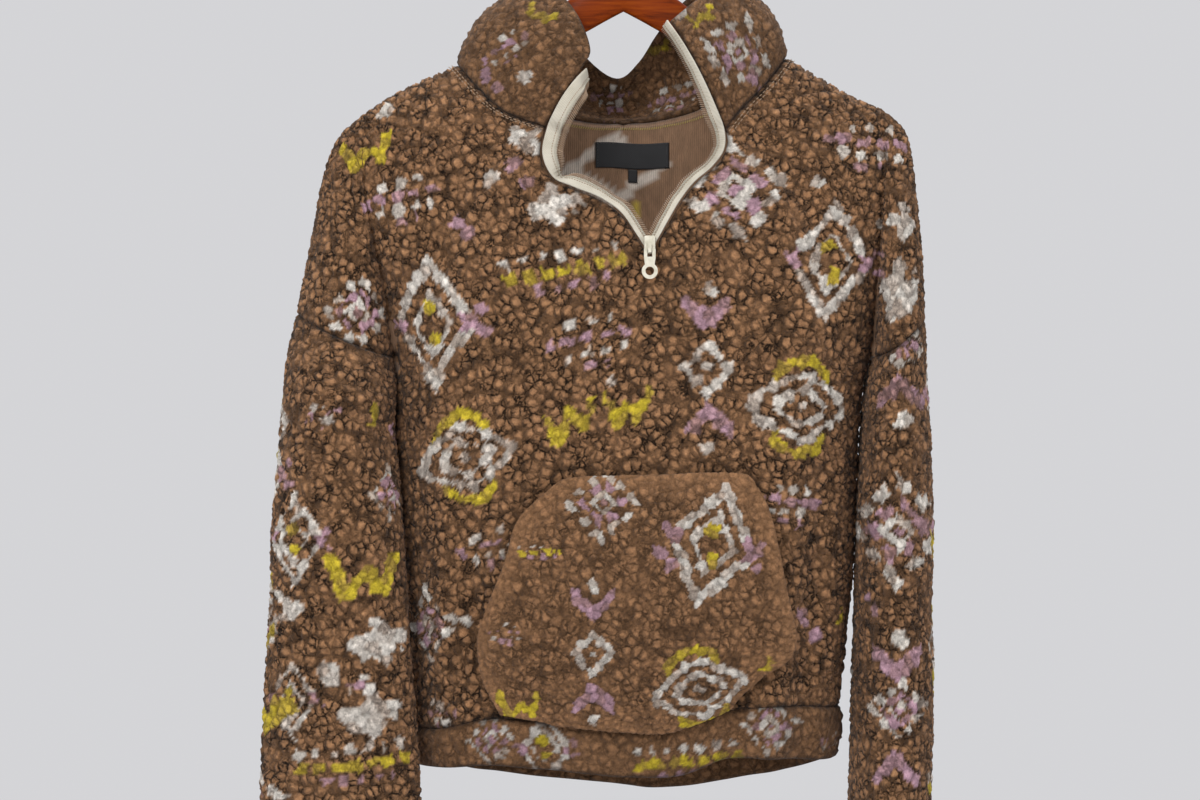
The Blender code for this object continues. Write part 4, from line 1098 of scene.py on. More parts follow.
class Look:
    """A material in the making: its shader and the nodes that feed it, placed by the object's coordinates."""

    def __init__(self, name: str, values: dict) -> None:
        """Starts the material with its shader's own values, by socket."""
        self.material = bpy.data.materials.new(name)
        self.material.use_nodes = True
        self.tree = self.material.node_tree
        self.shader = self.tree.nodes["Principled BSDF"]
        for socket, value in values.items():
            self.shader.inputs[socket].default_value = value

    @cached_property
    def at(self) -> Socket:
        """The object's coordinates."""
        return self.add("TexCoord").outputs["Object"]

    def add(self, kind: str, settings: dict | None = None, links: dict | None = None) -> bpy.types.Node:
        """Adds a shader node."""
        return add_node(self.tree, "ShaderNode" + kind, settings or {}, links or {})

    def noise(self, lumps: float, detail: float, at: Socket | None = None, **more: float) -> bpy.types.Node:
        """Noise with so many lumps a metre."""
        place = self.at if at is None else at
        return self.add("TexNoise", {"Scale": lumps, "Detail": detail, **more}, {"Vector": place})

    def bands(self, wide: float, direction: str, more: dict) -> Socket:
        """Even bands, their width in millimetres."""
        values = {"wave_type": "BANDS", "bands_direction": direction, "Scale": 0.314 / (wide * MM), **more}
        return self.add("TexWave", values, {"Vector": self.at}).outputs["Fac"]

    def cells(self, feature: str, wide: float, at: Socket) -> bpy.types.Node:
        """Voronoi cells, their width in millimetres."""
        return self.add("TexVoronoi", {"feature": feature, "Scale": 1 / (wide * MM)}, {"Vector": at})

    def stretched(self, scale: tuple[float, float, float]) -> Socket:
        """The object's coordinates, scaled on each axis."""
        return self.add("Mapping", {"Scale": scale}, {"Vector": self.at}).outputs["Vector"]

    def shifted(self, at: Socket, by: Socket, far: float) -> Socket:
        """A place shifted by a colour, as far as some millimetres."""
        values = {"operation": "MULTIPLY_ADD", 1: (far * MM,) * 3}
        return self.add("VectorMath", values, {0: by, 2: at}).outputs[0]

    def math(self, operation: str, *terms: Socket | float) -> Socket:
        """A sum of sockets and numbers."""
        values = {number: term for number, term in enumerate(terms) if isinstance(term, float)}
        links = {number: term for number, term in enumerate(terms) if number not in values}
        return self.add("Math", {"operation": operation, **values}, links).outputs[0]

    def scaled(self, value: Socket, start: Pair, end: Pair, ease: str = "LINEAR") -> Socket:
        """A value carried from one range to another and kept inside it."""
        values = {"interpolation_type": ease, "From Min": start[0], "From Max": start[1], "To Min": end[0],
                  "To Max": end[1]}
        return self.add("MapRange", values, {"Value": value}).outputs["Result"]

    def ramp(self, factor: Socket, stops: tuple) -> Socket:
        """A colour ramp with stops of a place and a hex colour."""
        node = self.add("ValToRGB", {}, {"Fac": factor})
        while len(node.color_ramp.elements) < len(stops):
            node.color_ramp.elements.new(0.5)
        for element, (place, colour) in zip(node.color_ramp.elements, stops):
            element.position = place
            element.color = linear(colour)
        return node.outputs["Color"]

    def tinted(self, colour: Socket, level: Socket) -> Socket:
        """A colour made darker or lighter by a level."""
        values = {"data_type": "RGBA", "blend_type": "MULTIPLY", 0: 1.0}
        return self.add("Mix", values, {6: colour, 7: level}).outputs[2]

    def bump(self, height: Socket, deep: float, strength: float, over: Socket | None = None,
             invert: bool = False) -> Socket:
        """A bump some millimetres deep, laid over another's normal if one is given."""
        links = {"Height": height} if over is None else {"Height": height, "Normal": over}
        values = {"Strength": strength, "Distance": deep * MM, "invert": invert}
        return self.add("Bump", values, links).outputs["Normal"]

    def fed(self, **sockets: Socket) -> bpy.types.Material:
        """Feeds the shader, each socket by its name with underscores for spaces. Gives the material."""
        for name, socket in sockets.items():
            self.tree.links.new(socket, self.shader.inputs[name.replace("_", " ")])
        return self.material


@dataclass(frozen=True)
class SherpaPile:
    """Polyester sherpa, knitted and tumbled into curls. Each curl's yarn colour lies on its points, and fine
    fibres break the light over it, so the eye sees wool-like tufts; painted shade darkens the gaps between
    them and each curl towards its rim. Sizes in millimetres."""

    name: str = "sherpa pile fleece"
    curl: float = 8.2
    swirl: float = 9.0
    sway: float = 5.4
    fibre: float = 2.1
    tuft: float = 3.2
    cluster: float = 15.0
    rough: float = 0.95
    # How deep the painted shade goes in the gaps between curls, and towards each curl's rim.
    hollow_shade: float = 0.97
    rounding_shade: float = 0.14
    ragged: float = 3.0
    uneven: float = 0.3
    gap_width: float = 0.2
    corner: tuple[float, float] = (0.42, 0.74)
    corner_depth: float = 0.8
    dome: float = 0.42
    each: tuple[float, float] = (0.9, 1.1)
    fibre_light: tuple[float, float] = (0.55, 1.3)
    curl_bump: float = 1.5
    tuft_bump: float = 1.0
    fibre_bump: float = 0.7

    def build(self) -> bpy.types.Material:
        """Builds the material."""
        look = Look(self.name, {"Roughness": self.rough, "Sheen Weight": 0.08, "Sheen Roughness": 0.5,
                                "Specular IOR Level": 0.08})
        yarn = look.add("Attribute", {"attribute_name": "yarn"}).outputs
        sway = look.noise(1 / (self.swirl * MM), 5.0, Roughness=0.66).outputs["Color"]
        moved = look.shifted(look.at, sway, self.sway)
        fibres = look.noise(1 / (self.fibre * MM), 4.0, Roughness=0.75, Distortion=1.6).outputs
        ragged = look.shifted(moved, fibres["Color"], self.ragged)
        tufts = look.noise(1 / (self.tuft * MM), 3.0, Roughness=0.6).outputs["Fac"]
        edge = look.cells("DISTANCE_TO_EDGE", self.curl, ragged).outputs["Distance"]
        each = look.cells("F1", self.curl, moved).outputs
        uneven = look.math("MULTIPLY_ADD", tufts, self.uneven, edge)
        start = self.uneven / 2
        gap = look.scaled(uneven, (start, start + self.gap_width), (1.0, 0.0), "SMOOTHSTEP")
        corner = look.scaled(each["Distance"], self.corner, (0.0, self.corner_depth), "SMOOTHSTEP")
        gap = look.math("MAXIMUM", gap, corner)
        shut = look.noise(1 / (self.cluster * MM), 3.0).outputs["Fac"]
        much = look.scaled(shut, (0.32, 0.56), (0.55, 1.0))
        gap = look.math("MULTIPLY", gap, look.math("MULTIPLY", much, yarn["Alpha"]))
        dome = look.scaled(edge, (0.0, self.dome), (1.0, 0.0), "SMOOTHERSTEP")
        swell = look.math("MULTIPLY", dome, yarn["Alpha"])
        # Painted shade: the gaps between curls go dark, and each curl darkens towards its rim.
        dark = look.math("MULTIPLY_ADD", gap, -self.hollow_shade, 1.0)
        dark = look.math("MULTIPLY", dark, look.math("MULTIPLY_ADD", swell, -self.rounding_shade, 1.0))
        lit = look.scaled(fibres["Fac"], (0.3, 0.7), self.fibre_light)
        level = look.math("MULTIPLY", look.math("MULTIPLY", lit, dark),
                          look.scaled(each["Color"], (0.0, 1.0), self.each))
        curled = look.bump(swell, self.curl_bump, 0.9, invert=True)
        coarse = look.bump(tufts, self.tuft_bump, 0.55, curled)
        fine = look.bump(fibres["Fac"], self.fibre_bump, 0.8, coarse)
        return look.fed(Base_Color=look.tinted(yarn["Color"], level), Normal=fine)


@dataclass(frozen=True)
class KnitReverse:
    """The fleece's knitted back: a smooth jersey, its fine columns drawn about twice their size to show."""

    name: str = "knitted fleece back"
    column: float = 1.8

    def build(self) -> bpy.types.Material:
        """Builds the material."""
        look = Look(self.name, {"Roughness": 0.9, "Sheen Weight": 0.15})
        yarn = look.add("Attribute", {"attribute_name": "yarn"}).outputs["Color"]
        columns = look.bands(self.column, "X", {"Distortion": 2.5, "Detail": 2.0, "Detail Scale": 2.0})
        speckle = look.noise(420.0, 4.0).outputs["Fac"]
        cloud = look.noise(130.0, 5.0, look.stretched((1.0, 1.0, 0.35)), Roughness=0.65).outputs["Fac"]
        lit = look.scaled(look.math("MULTIPLY_ADD", columns, 0.2, cloud), (0.35, 0.85), (0.68, 1.3))
        fuzz = look.bump(speckle, 0.3, 0.4, look.bump(columns, 0.5, 0.5))
        return look.fed(Base_Color=look.tinted(yarn, lit), Normal=fuzz)


@dataclass(frozen=True)
class WovenTape:
    """Woven polyester: a fine chevron weave with a soft shine. Used for the zip's tape and for the labels."""

    name: str
    light: str
    dark: str
    thread: float = 1.1
    rough: float = 0.75

    def build(self) -> bpy.types.Material:
        """Builds the material."""
        look = Look(self.name, {"Roughness": self.rough, "Sheen Weight": 0.2})
        warp, weft = (look.bands(self.thread, way, {"Distortion": 0.6}) for way in ("DIAGONAL", "Z"))
        weave = look.math("MULTIPLY", warp, weft)
        mixed = look.math("MULTIPLY_ADD", weave, 0.45, look.noise(60.0, 4.0).outputs["Fac"])
        tone = look.ramp(mixed, ((0.25, self.dark), (0.75, self.light)))
        return look.fed(Base_Color=tone, Normal=look.bump(weave, 0.25, 0.5))


@dataclass(frozen=True)
class Enamel:
    """Enamelled zinc, die cast and dipped: an even gloss with faint orange peel and darker low spots."""

    name: str = "cream enamelled zinc"
    light: str = "#D4CEBC"
    dark: str = "#C0BAA6"

    def build(self) -> bpy.types.Material:
        """Builds the material."""
        look = Look(self.name, {"Roughness": 0.32, "Coat Weight": 0.4, "Coat Roughness": 0.2, "IOR": 1.5})
        tone = look.ramp(look.noise(220.0, 3.0).outputs["Fac"], ((0.35, self.dark), (0.6, self.light)))
        peel = look.noise(1400.0, 1.0).outputs["Fac"]
        return look.fed(Base_Color=tone, Normal=look.bump(peel, 0.1, 0.15))


@dataclass(frozen=True)
class Thread:
    """Spun polyester thread, slightly shiny, with painted shade in the hollows of its twist."""

    name: str
    colour: str
    # The painted shade's colour in the twist's hollows.
    hollow_shade: tuple[float, ...] = (0.02, 0.015, 0.01, 1.0)

    def build(self) -> bpy.types.Material:
        """Builds the material."""
        look = Look(self.name, {"Roughness": 0.6, "Sheen Weight": 0.3})
        part = look.scaled(look.noise(2500.0, 2.0).outputs["Fac"], (0.55, 0.8), (0.0, 0.35))
        colours = {"data_type": "RGBA", 6: linear(self.colour), 7: self.hollow_shade}
        return look.fed(Base_Color=look.add("Mix", colours, {0: part}).outputs[2])


@dataclass(frozen=True)
class CherryWood:
    """Cherry-stained hardwood with a thin matt lacquer, its long grain along the arms."""

    name: str = "lacquered cherry wood"
    stops: tuple = ((0.3, "#4C1901"), (0.5, "#752C02"), (0.72, "#8C3E05"))

    def build(self) -> bpy.types.Material:
        """Builds the material."""
        look = Look(self.name, {"Roughness": 0.5, "Coat Weight": 0.03, "Coat Roughness": 0.2,
                                "Specular IOR Level": 0.08})
        long = look.stretched((9.0, 160.0, 160.0))
        grain = look.noise(1.6, 6.0, long, Roughness=0.6, Distortion=0.4).outputs["Fac"]
        return look.fed(Base_Color=look.ramp(grain, self.stops), Normal=look.bump(grain, 0.2, 0.2))


@dataclass(frozen=True)
class ChromedWire:
    """Chromed steel wire, drawn and plated: a bright mirror with hair-fine drawing marks."""

    name: str = "chromed steel wire"
    stops: tuple = ((0.3, "#BFC0C2"), (0.7, "#D9DADC"))

    def build(self) -> bpy.types.Material:
        """Builds the material."""
        look = Look(self.name, {"Metallic": 1.0, "Roughness": 0.12})
        marks = look.noise(300.0, 3.0).outputs["Fac"]
        rough = look.scaled(marks, (0.0, 1.0), (0.08, 0.2))
        return look.fed(Base_Color=look.ramp(marks, self.stops), Roughness=rough)


@dataclass(frozen=True)
class Paint:
    """The floor's plain paint."""

    name: str = "pale studio floor"
    colour: str = "#C4C4C8"

    def build(self) -> bpy.types.Material:
        """Builds the material."""
        return Look(self.name, {"Roughness": 0.8, "Base Color": linear(self.colour)}).material


def mesh_piece(name: str, points: Array, faces: list, materials: list, kinds: list[int] | None = None,
               colours: Array | None = None) -> bpy.types.Object:
    """A named mesh object at the origin.

    Args:
        name: The piece's name.
        points: Its points in millimetres.
        faces: Its faces.
        materials: Its materials.
        kinds: Each face's material number.
        colours: Each point's colour in linear light, and how crisp its curls are.

    Returns:
        The object.
    """
    mesh = bpy.data.meshes.new(name)
    mesh.from_pydata((np.asarray(points) * MM).tolist(), [], faces)
    for material in materials:
        mesh.materials.append(material)
    if kinds is not None:
        mesh.polygons.foreach_set("material_index", kinds)
    if colours is not None:
        layer = mesh.color_attributes.new("yarn", "FLOAT_COLOR", "POINT")
        layer.data.foreach_set("color", np.ravel(colours))
    mesh.shade_smooth()
    mesh.update()
    return linked(name, mesh)


def shell_faces(sheet: Sheet, step: int) -> tuple[list, list[int], Array]:
    """The faces of a closed shell on a sheet, with its inner side cut from every step-th point.

    Args:
        sheet: The outer side.
        step: How many steps of the outer side make one of the inner side.

    Returns:
        The faces, each face's material number, and the sheet's points that the inner side uses.
    """
    inner = sheet.faces(step)
    used, index = np.unique(inner, return_inverse=True)
    index = index.reshape(inner.shape) + len(sheet.points)
    number = {int(point): len(sheet.points) + place for place, point in enumerate(used)}
    faces = [tuple(corners_of(quad)) for quad in sheet.quads.tolist()]
    kinds = [0] * len(faces)
    for quad in index.tolist():
        faces.append(tuple(corners_of(quad)[::-1]))
        kinds.append(1)
    after = sheet.rim(sheet.quads)
    for start, end in sheet.rim(inner).items():
        point, fan = int(start), []
        while point != end:
            fan.append((after[point], point, number[int(start)]))
            point = after[point]
        fan.append((int(end), number[int(start)], number[int(end)]))
        faces += fan
        kinds += [0] * len(fan)
    return faces, kinds, used


@dataclass(frozen=True)
class Fleece:
    """Makes the fleece pieces: a closed shell with curls outside and a knitted back, or curls both sides."""

    printing: Printing
    pile_material: bpy.types.Material
    back_material: bpy.types.Material
    ground: str = "#A67B57"
    white: str = "#E4DCD1"
    pink: str = "#C29BA8"
    yellow: str = "#D3BB38"
    reverse: str = "#86674E"
    # seam is how far in from a piece's rim its painted shade reaches.
    seam: float = 5.0
    press: float = 9.0
    # beside and beside_shade are the reach and depth of the painted shadow beside the pocket's edge.
    beside: float = 15.0
    beside_shade: float = 0.45
    pressed_rim: float = 0.4
    calm_rim: float = 0.45
    thin_rim: float = 0.12
    curl_lift: float = 0.9
    curl_tint: float = 0.12
    print_soft: float = 0.55
    print_through: float = 0.6
    off_middle: tuple[float, float] = (0.15, 0.05)

    def palette(self) -> Array:
        """The yarns' colours in linear light."""
        return np.array([linear(colour)[:3] for colour in (self.ground, self.white, self.pink, self.yellow)])

    def curled(self, piece: str, places: dict, pile: Pile, points: Array, normals: Array,
               near: Array) -> tuple[Array, Array]:
        """The curls' heights in millimetres and their colours, painted shade included.

        Args:
            piece: The piece's name.
            places: The table of motifs.
            pile: The pile.
            points: The face's points.
            normals: Its outward directions.
            near: Each point's distance from the piece's edge.

        Returns:
            The heights over the face and the colours.
        """
        top, middles, tone = pile.curls(points, normals)
        pressed = risen(near / self.press, self.pressed_rim)
        rough = pile.rough * np.random.default_rng(pile.seed + 100).normal(size=len(points)).clip(-2, 2)
        height = (pile.deep * (top - 1) + (self.curl_lift * (tone - 0.35) + rough) * top) * pressed
        yarns = self.printing.yarns(places, piece, points, normals, middles * 0.5 + points * 0.5)
        cover = np.where(yarns > 0, np.clip(0.45 + 0.7 * tone, 0, 1), 0)[:, None]
        plain = self.palette()
        # Painted shade in the gaps between curls; each curl's tone also differs a little at random.
        shade = pile.light * risen(top * 1.1, pile.shade) * (1 + self.curl_tint * (tone - 0.5))
        # Painted shade towards the piece's rim, as in the groove of a seam.
        shade = shade * risen(near / self.seam, pile.edge)
        colours = (plain[yarns] * cover + plain[0] * (1 - cover)) * shade[:, None]
        crisp = pile.crisp * (1 - self.print_soft * cover[:, 0])
        if pile.calm:
            crisp = crisp * risen(near / pile.calm, self.calm_rim)
        return height, np.column_stack([colours, crisp])

    def piece(self, name: str, sheet: Sheet, thick: float, pile: Pile, step: int = 3, both: bool = False,
              half: int = 0, under: Sheet | None = None) -> bpy.types.Object:
        """Builds a piece.

        Args:
            name: The piece's name, and its solid's.
            sheet: Its outer face.
            thick: The cloth's thickness in millimetres, curls included.
            pile: The pile.
            step: The inner side's coarseness.
            both: Whether the inner side is curled too.
            half: The side of the middle plane that it stays on, or 0.
            under: A sheet that lies on this one and casts a painted shadow on the pile beside its edge, or
                none.

        Returns:
            The object.
        """
        step = 1 if both else step
        faces, kinds, used = shell_faces(sheet, step)
        rim = tree_over(sheet.points[list(sheet.rim(sheet.quads))])
        near = np.array([rim.find(point)[2] for point in sheet.points])
        cover = np.maximum(rounded(near / (0.6 * thick)), self.thin_rim)
        middle = sheet.points - sheet.normals * (thick / 2)
        height, colours = self.curled(name, PLACES, pile, sheet.points, sheet.normals, near)
        # Painted shadow of the sheet on top, darkening the pile beside its edge.
        if under is not None:
            edge = tree_over(under.points[list(under.rim(under.quads))])
            far = np.array([edge.find(point)[2] for point in sheet.points])
            colours[:, :3] *= risen(far / self.beside, 1 - self.beside_shade)[:, None]
        outer = middle + sheet.normals * ((thick / 2 + height) * cover)[:, None]
        inner_height = np.zeros(len(sheet.points))
        if both:
            inner_points = sheet.points - sheet.normals * thick
            inner_height, inner_colours = self.curled(
                name, INNER_PLACES, pile, inner_points, -sheet.normals, near
            )
        else:
            yarns = self.printing.yarns(
                INNER_PLACES, name, sheet.points - sheet.normals * thick, -sheet.normals, sheet.points
            )
            plain = np.array(linear(self.reverse))
            through = np.column_stack([self.palette(), np.ones(4)])[yarns]
            mixed = plain + self.print_through * (through - plain)
            inner_colours = np.where(yarns[:, None] > 0, mixed, plain)
        inner = middle - sheet.normals * ((thick / 2 + inner_height) * cover)[:, None]
        if half:
            for face, off in zip((outer, inner), self.off_middle):
                face[:, 1] = half * np.maximum(half * face[:, 1], off)
        points = np.vstack([outer, inner[used]])
        if both:
            kinds = [0] * len(kinds)
        size = corner_areas(middle, sheet.quads)
        made = mesh_piece(
            name + "_cloth", points, faces, [self.pile_material, self.back_material], kinds,
            np.vstack([colours, inner_colours[used]]),
        )
        LOG.info("%s: %d points, cloth %.4f square metres", name, len(points), size)
        return made


def corner_areas(points: Array, quads: Array) -> float:
    """A sheet's area in square metres."""
    first = np.cross(points[quads[:, 1]] - points[quads[:, 0]], points[quads[:, 2]] - points[quads[:, 0]])
    second = np.cross(points[quads[:, 2]] - points[quads[:, 0]], points[quads[:, 3]] - points[quads[:, 0]])
    return float((np.linalg.norm(first, axis=1).sum() + np.linalg.norm(second, axis=1).sum()) / 2 * MM * MM)


def plate(name: str, grid: Array, out: Array, thick: float, material: bpy.types.Material,
          flip: bool = False) -> bpy.types.Object:
    """A thin closed piece on a grid of points.

    Args:
        name: The piece's name.
        grid: The rows of points of its face.
        out: The directions out of that face.
        thick: Its thickness in millimetres.
        material: Its material.
        flip: Whether its faces are turned.

    Returns:
        The object.
    """
    sheet = Sheet.from_grids([(grid, flip)])
    sheet.normals = np.zeros_like(sheet.points)
    sheet.normals[sheet.grids[0]] = out
    faces, kinds, used = shell_faces(sheet, 1)
    points = np.vstack([sheet.points, sheet.points[used] - sheet.normals[used] * thick])
    return mesh_piece(name, points, faces, [material], [0] * len(kinds))


def wear(piece: bpy.types.Object, slot: str, *nodes: str, body: str = BODY) -> bpy.types.Object:
    """Puts a piece on its body and lets it stand for the solids that it replaces."""
    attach(piece, body)
    if nodes:
        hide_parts(*nodes)
    LOG.info("%s: %d faces on %s", piece.name, len(piece.data.polygons), body)
    return piece


@dataclass(frozen=True)
class StitchRow:
    """Stitches, or a zip's coil, set along lines at an even pitch by Geometry Nodes. Sizes in millimetres."""

    pitch: float = 4.0
    long: float = 3.3
    wide: float = 0.9
    high: float = 0.8
    slant: float = 0.0
    sides: int = 6
    rings: int = 4

    def tree(self) -> bpy.types.GeometryNodeTree:
        """Builds the tree, whose inputs are the path, the sizes and the thread."""
        tree = bpy.data.node_groups.new("stitch row", "GeometryNodeTree")
        tree.interface.new_socket("Path", in_out="INPUT", socket_type="NodeSocketGeometry")
        for name in ("Pitch", "Length", "Width", "Height", "Slant"):
            tree.interface.new_socket(name, in_out="INPUT", socket_type="NodeSocketFloat")
        tree.interface.new_socket("Thread", in_out="INPUT", socket_type="NodeSocketMaterial")
        tree.interface.new_socket("Row", in_out="OUTPUT", socket_type="NodeSocketGeometry")
        given = tree.nodes.new("NodeGroupInput").outputs
        curve = add_node(tree, "GeometryNodeMeshToCurve", {}, {"Mesh": given["Path"]})
        even = add_node(
            tree, "GeometryNodeResampleCurve", {"mode": "LENGTH"},
            {"Curve": curve.outputs["Curve"], "Length": given["Pitch"]},
        )
        bead = add_node(
            tree, "GeometryNodeMeshUVSphere", {"Segments": self.sides, "Rings": self.rings, "Radius": 0.5}, {}
        )
        run = add_node(tree, "GeometryNodeInputTangent", {}, {})
        named = {"data_type": "FLOAT_VECTOR", "Name": "aim"}
        aim = add_node(tree, "GeometryNodeInputNamedAttribute", named, {})
        lie = add_node(
            tree, "FunctionNodeAxesToRotation", {"primary_axis": "X", "secondary_axis": "Z"},
            {"Primary Axis": run.outputs["Tangent"], "Secondary Axis": aim.outputs["Attribute"]},
        )
        lean = add_node(tree, "ShaderNodeCombineXYZ", {}, {"Z": given["Slant"]})
        turned = add_node(
            tree, "FunctionNodeRotateRotation", {"rotation_space": "LOCAL"},
            {"Rotation": lie.outputs["Rotation"], "Rotate By": lean.outputs["Vector"]},
        )
        sizes = {"X": given["Length"], "Y": given["Width"], "Z": given["Height"]}
        size = add_node(tree, "ShaderNodeCombineXYZ", {}, sizes)
        placed = add_node(
            tree, "GeometryNodeInstanceOnPoints", {},
            {"Points": even.outputs["Curve"], "Instance": bead.outputs["Mesh"],
             "Rotation": turned.outputs["Rotation"], "Scale": size.outputs["Vector"]},
        )
        solid = add_node(tree, "GeometryNodeRealizeInstances", {}, {"Geometry": placed.outputs["Instances"]})
        soft = add_node(tree, "GeometryNodeSetShadeSmooth", {}, {"Geometry": solid.outputs["Geometry"]})
        looks = {"Geometry": soft.outputs["Geometry"], "Material": given["Thread"]}
        dressed = add_node(tree, "GeometryNodeSetMaterial", {}, looks)
        add_node(tree, "NodeGroupOutput", {}, {"Row": dressed.outputs["Geometry"]})
        return tree

    def along(self, name: str, lines: list[tuple[Array, Array]],
              thread: bpy.types.Material) -> bpy.types.Object:
        """Sews rows.

        Args:
            name: The piece's name.
            lines: Each row's points in millimetres and the directions that its stitches stand up in.
            thread: The material.

        Returns:
            The rows as one plain mesh object.
        """
        points, aims, edges = [], [], []
        for line, aim in lines:
            edges += [(len(points) + place, len(points) + place + 1) for place in range(len(line) - 1)]
            points += (np.asarray(line) * MM).tolist()
            aims += np.broadcast_to(aim, np.shape(line)).tolist()
        path = bpy.data.meshes.new(name + "_path")
        path.from_pydata(points, edges, [])
        path.attributes.new("aim", "FLOAT_VECTOR", "POINT").data.foreach_set("vector", np.ravel(aims))
        piece = linked(name, path)
        tree = self.tree()
        modifier = piece.modifiers.new("stitches", "NODES")
        modifier.node_group = tree
        sizes = {"Pitch": self.pitch * MM, "Length": self.long * MM, "Width": self.wide * MM,
                 "Height": self.high * MM, "Slant": self.slant, "Thread": thread}
        for socket in tree.interface.items_tree:
            if socket.name in sizes:
                modifier[socket.identifier] = sizes[socket.name]
        bpy.context.view_layer.update()
        made = bpy.data.meshes.new_from_object(piece.evaluated_get(bpy.context.evaluated_depsgraph_get()))
        piece.modifiers.clear()
        piece.data = made
        made.name = name
        return piece


@dataclass(frozen=True)
class ZipTape:
    """One side of the zip: a woven tape from the cloth's edge into the opening, its coil and overlock."""

    form: GarmentForm
    side: Side
    sections: int = 240
    columns: int = 10
    thick: float = 1.3
    clear: float = 1.3
    sink: float = 0.2
    end_share: float = 0.955
    ripple: float = 0.55
    crown: float = 0.7
    coil_at: float = 0.84
    groove_at: float = 0.3
    groove_wide: float = 0.07
    groove_deep: float = 0.5
    overlock_at: float = 1.22
    stitched_at: tuple[float, float] = (0.62, 0.97)
    cord: StitchRow = StitchRow(pitch=1.5, long=1.3, wide=2.2, high=1.5)
    overlock: StitchRow = StitchRow(pitch=1.8, long=7.0, wide=1.1, high=1.1, slant=1.15)
    topstitch: StitchRow = StitchRow(pitch=2.4, long=2.0, wide=0.7, high=0.6)

    def lines(self) -> tuple[Array, Array, Array, Array]:
        """The tape's start, the way across it, its outward directions and its width, section by section."""
        edge, beside = self.form.zip_edge(self.side)
        shares = np.linspace(0, self.end_share, self.sections + 1)
        path, next_path = along(edge, shares), along(beside, shares)
        run = unit(np.gradient(path, axis=0))
        out = path - next_path
        out = unit(out - run * (out * run).sum(axis=1, keepdims=True))
        normal = np.cross(run, out) * -int(self.side)
        table = np.asarray(TAPE[self.side], float)
        wide = np.interp(shares, table[:, 0], table[:, 1])[:, None]
        turn = np.radians(np.interp(shares, table[:, 0], table[:, 2]))[:, None]
        across = out * np.cos(turn) - normal * np.sin(turn)
        up = out * np.sin(turn) + normal * np.cos(turn)
        return path + out * self.clear - normal * self.sink, across, up, wide

    def weave(self) -> tuple[Array, Array, Array, Array]:
        """The woven tape's grid of points, with its start, its outward directions and its width."""
        start, across, up, wide = self.lines()
        shares = np.linspace(0, 1, len(start))[:, None]
        travel = shares * len(start)
        wave = self.ripple * risen((shares - 0.5) / 0.3, 0.3)
        wave = wave * (np.sin(travel / 3.1 + 0.6 * np.sin(travel / 7.3)) + 0.6 * np.sin(travel / 5.3 + 1.0))
        over = np.linspace(0, 1, self.columns + 1)[None, :]
        lift = self.thick + self.crown * np.sin(math.pi * over) * np.minimum(wide / 13, 1)
        lift = lift + wave * over * (1 - 0.4 * over)
        groove = self.groove_deep * np.exp(-(((over - self.groove_at) / self.groove_wide) ** 2))
        lift = lift - groove * smoothly((shares - 0.55) / 0.2)
        grid = start[:, None] + across[:, None] * (wide * over)[..., None] + up[:, None] * lift[..., None]
        return grid, start, up, wide

    @staticmethod
    def line_at(grid: Array, up: Array, share: float, above: float) -> tuple[Array, Array]:
        """A line down the tape at a share of the way across it and so far above it, and its directions."""
        rows = grid[:, 0] + (grid[:, -1] - grid[:, 0]) * share
        return rows + up * above, up

    def build(self, tape: bpy.types.Material, coil: bpy.types.Material, thread: bpy.types.Material) -> None:
        grid, start, up, wide = self.weave()
        out = np.broadcast_to(up[:, None], grid.shape)
        name = "zip_tape_" + self.side.name.lower()
        flip = self.side == Side.RIGHT
        piece = plate(name + "_weave", grid, out, self.thick * 0.9, tape, flip)
        inner, outer = self.stitched_at
        rows = [self.line_at(grid, up, inner, 0.75), self.line_at(grid, up, outer, 0.4)]
        coil_piece = self.cord.along(name + "_coil", [self.line_at(grid, up, self.coil_at, 0.75)], coil)
        edge = self.line_at(grid, up, self.overlock_at, -0.1)
        edge_piece = self.overlock.along(name + "_overlock", [edge], thread)
        sewn = self.topstitch.along(name + "_stitches", rows, thread)
        wear(piece, "zip_tape", name)
        for part in (coil_piece, edge_piece, sewn):
            wear(part, "zip_tape")


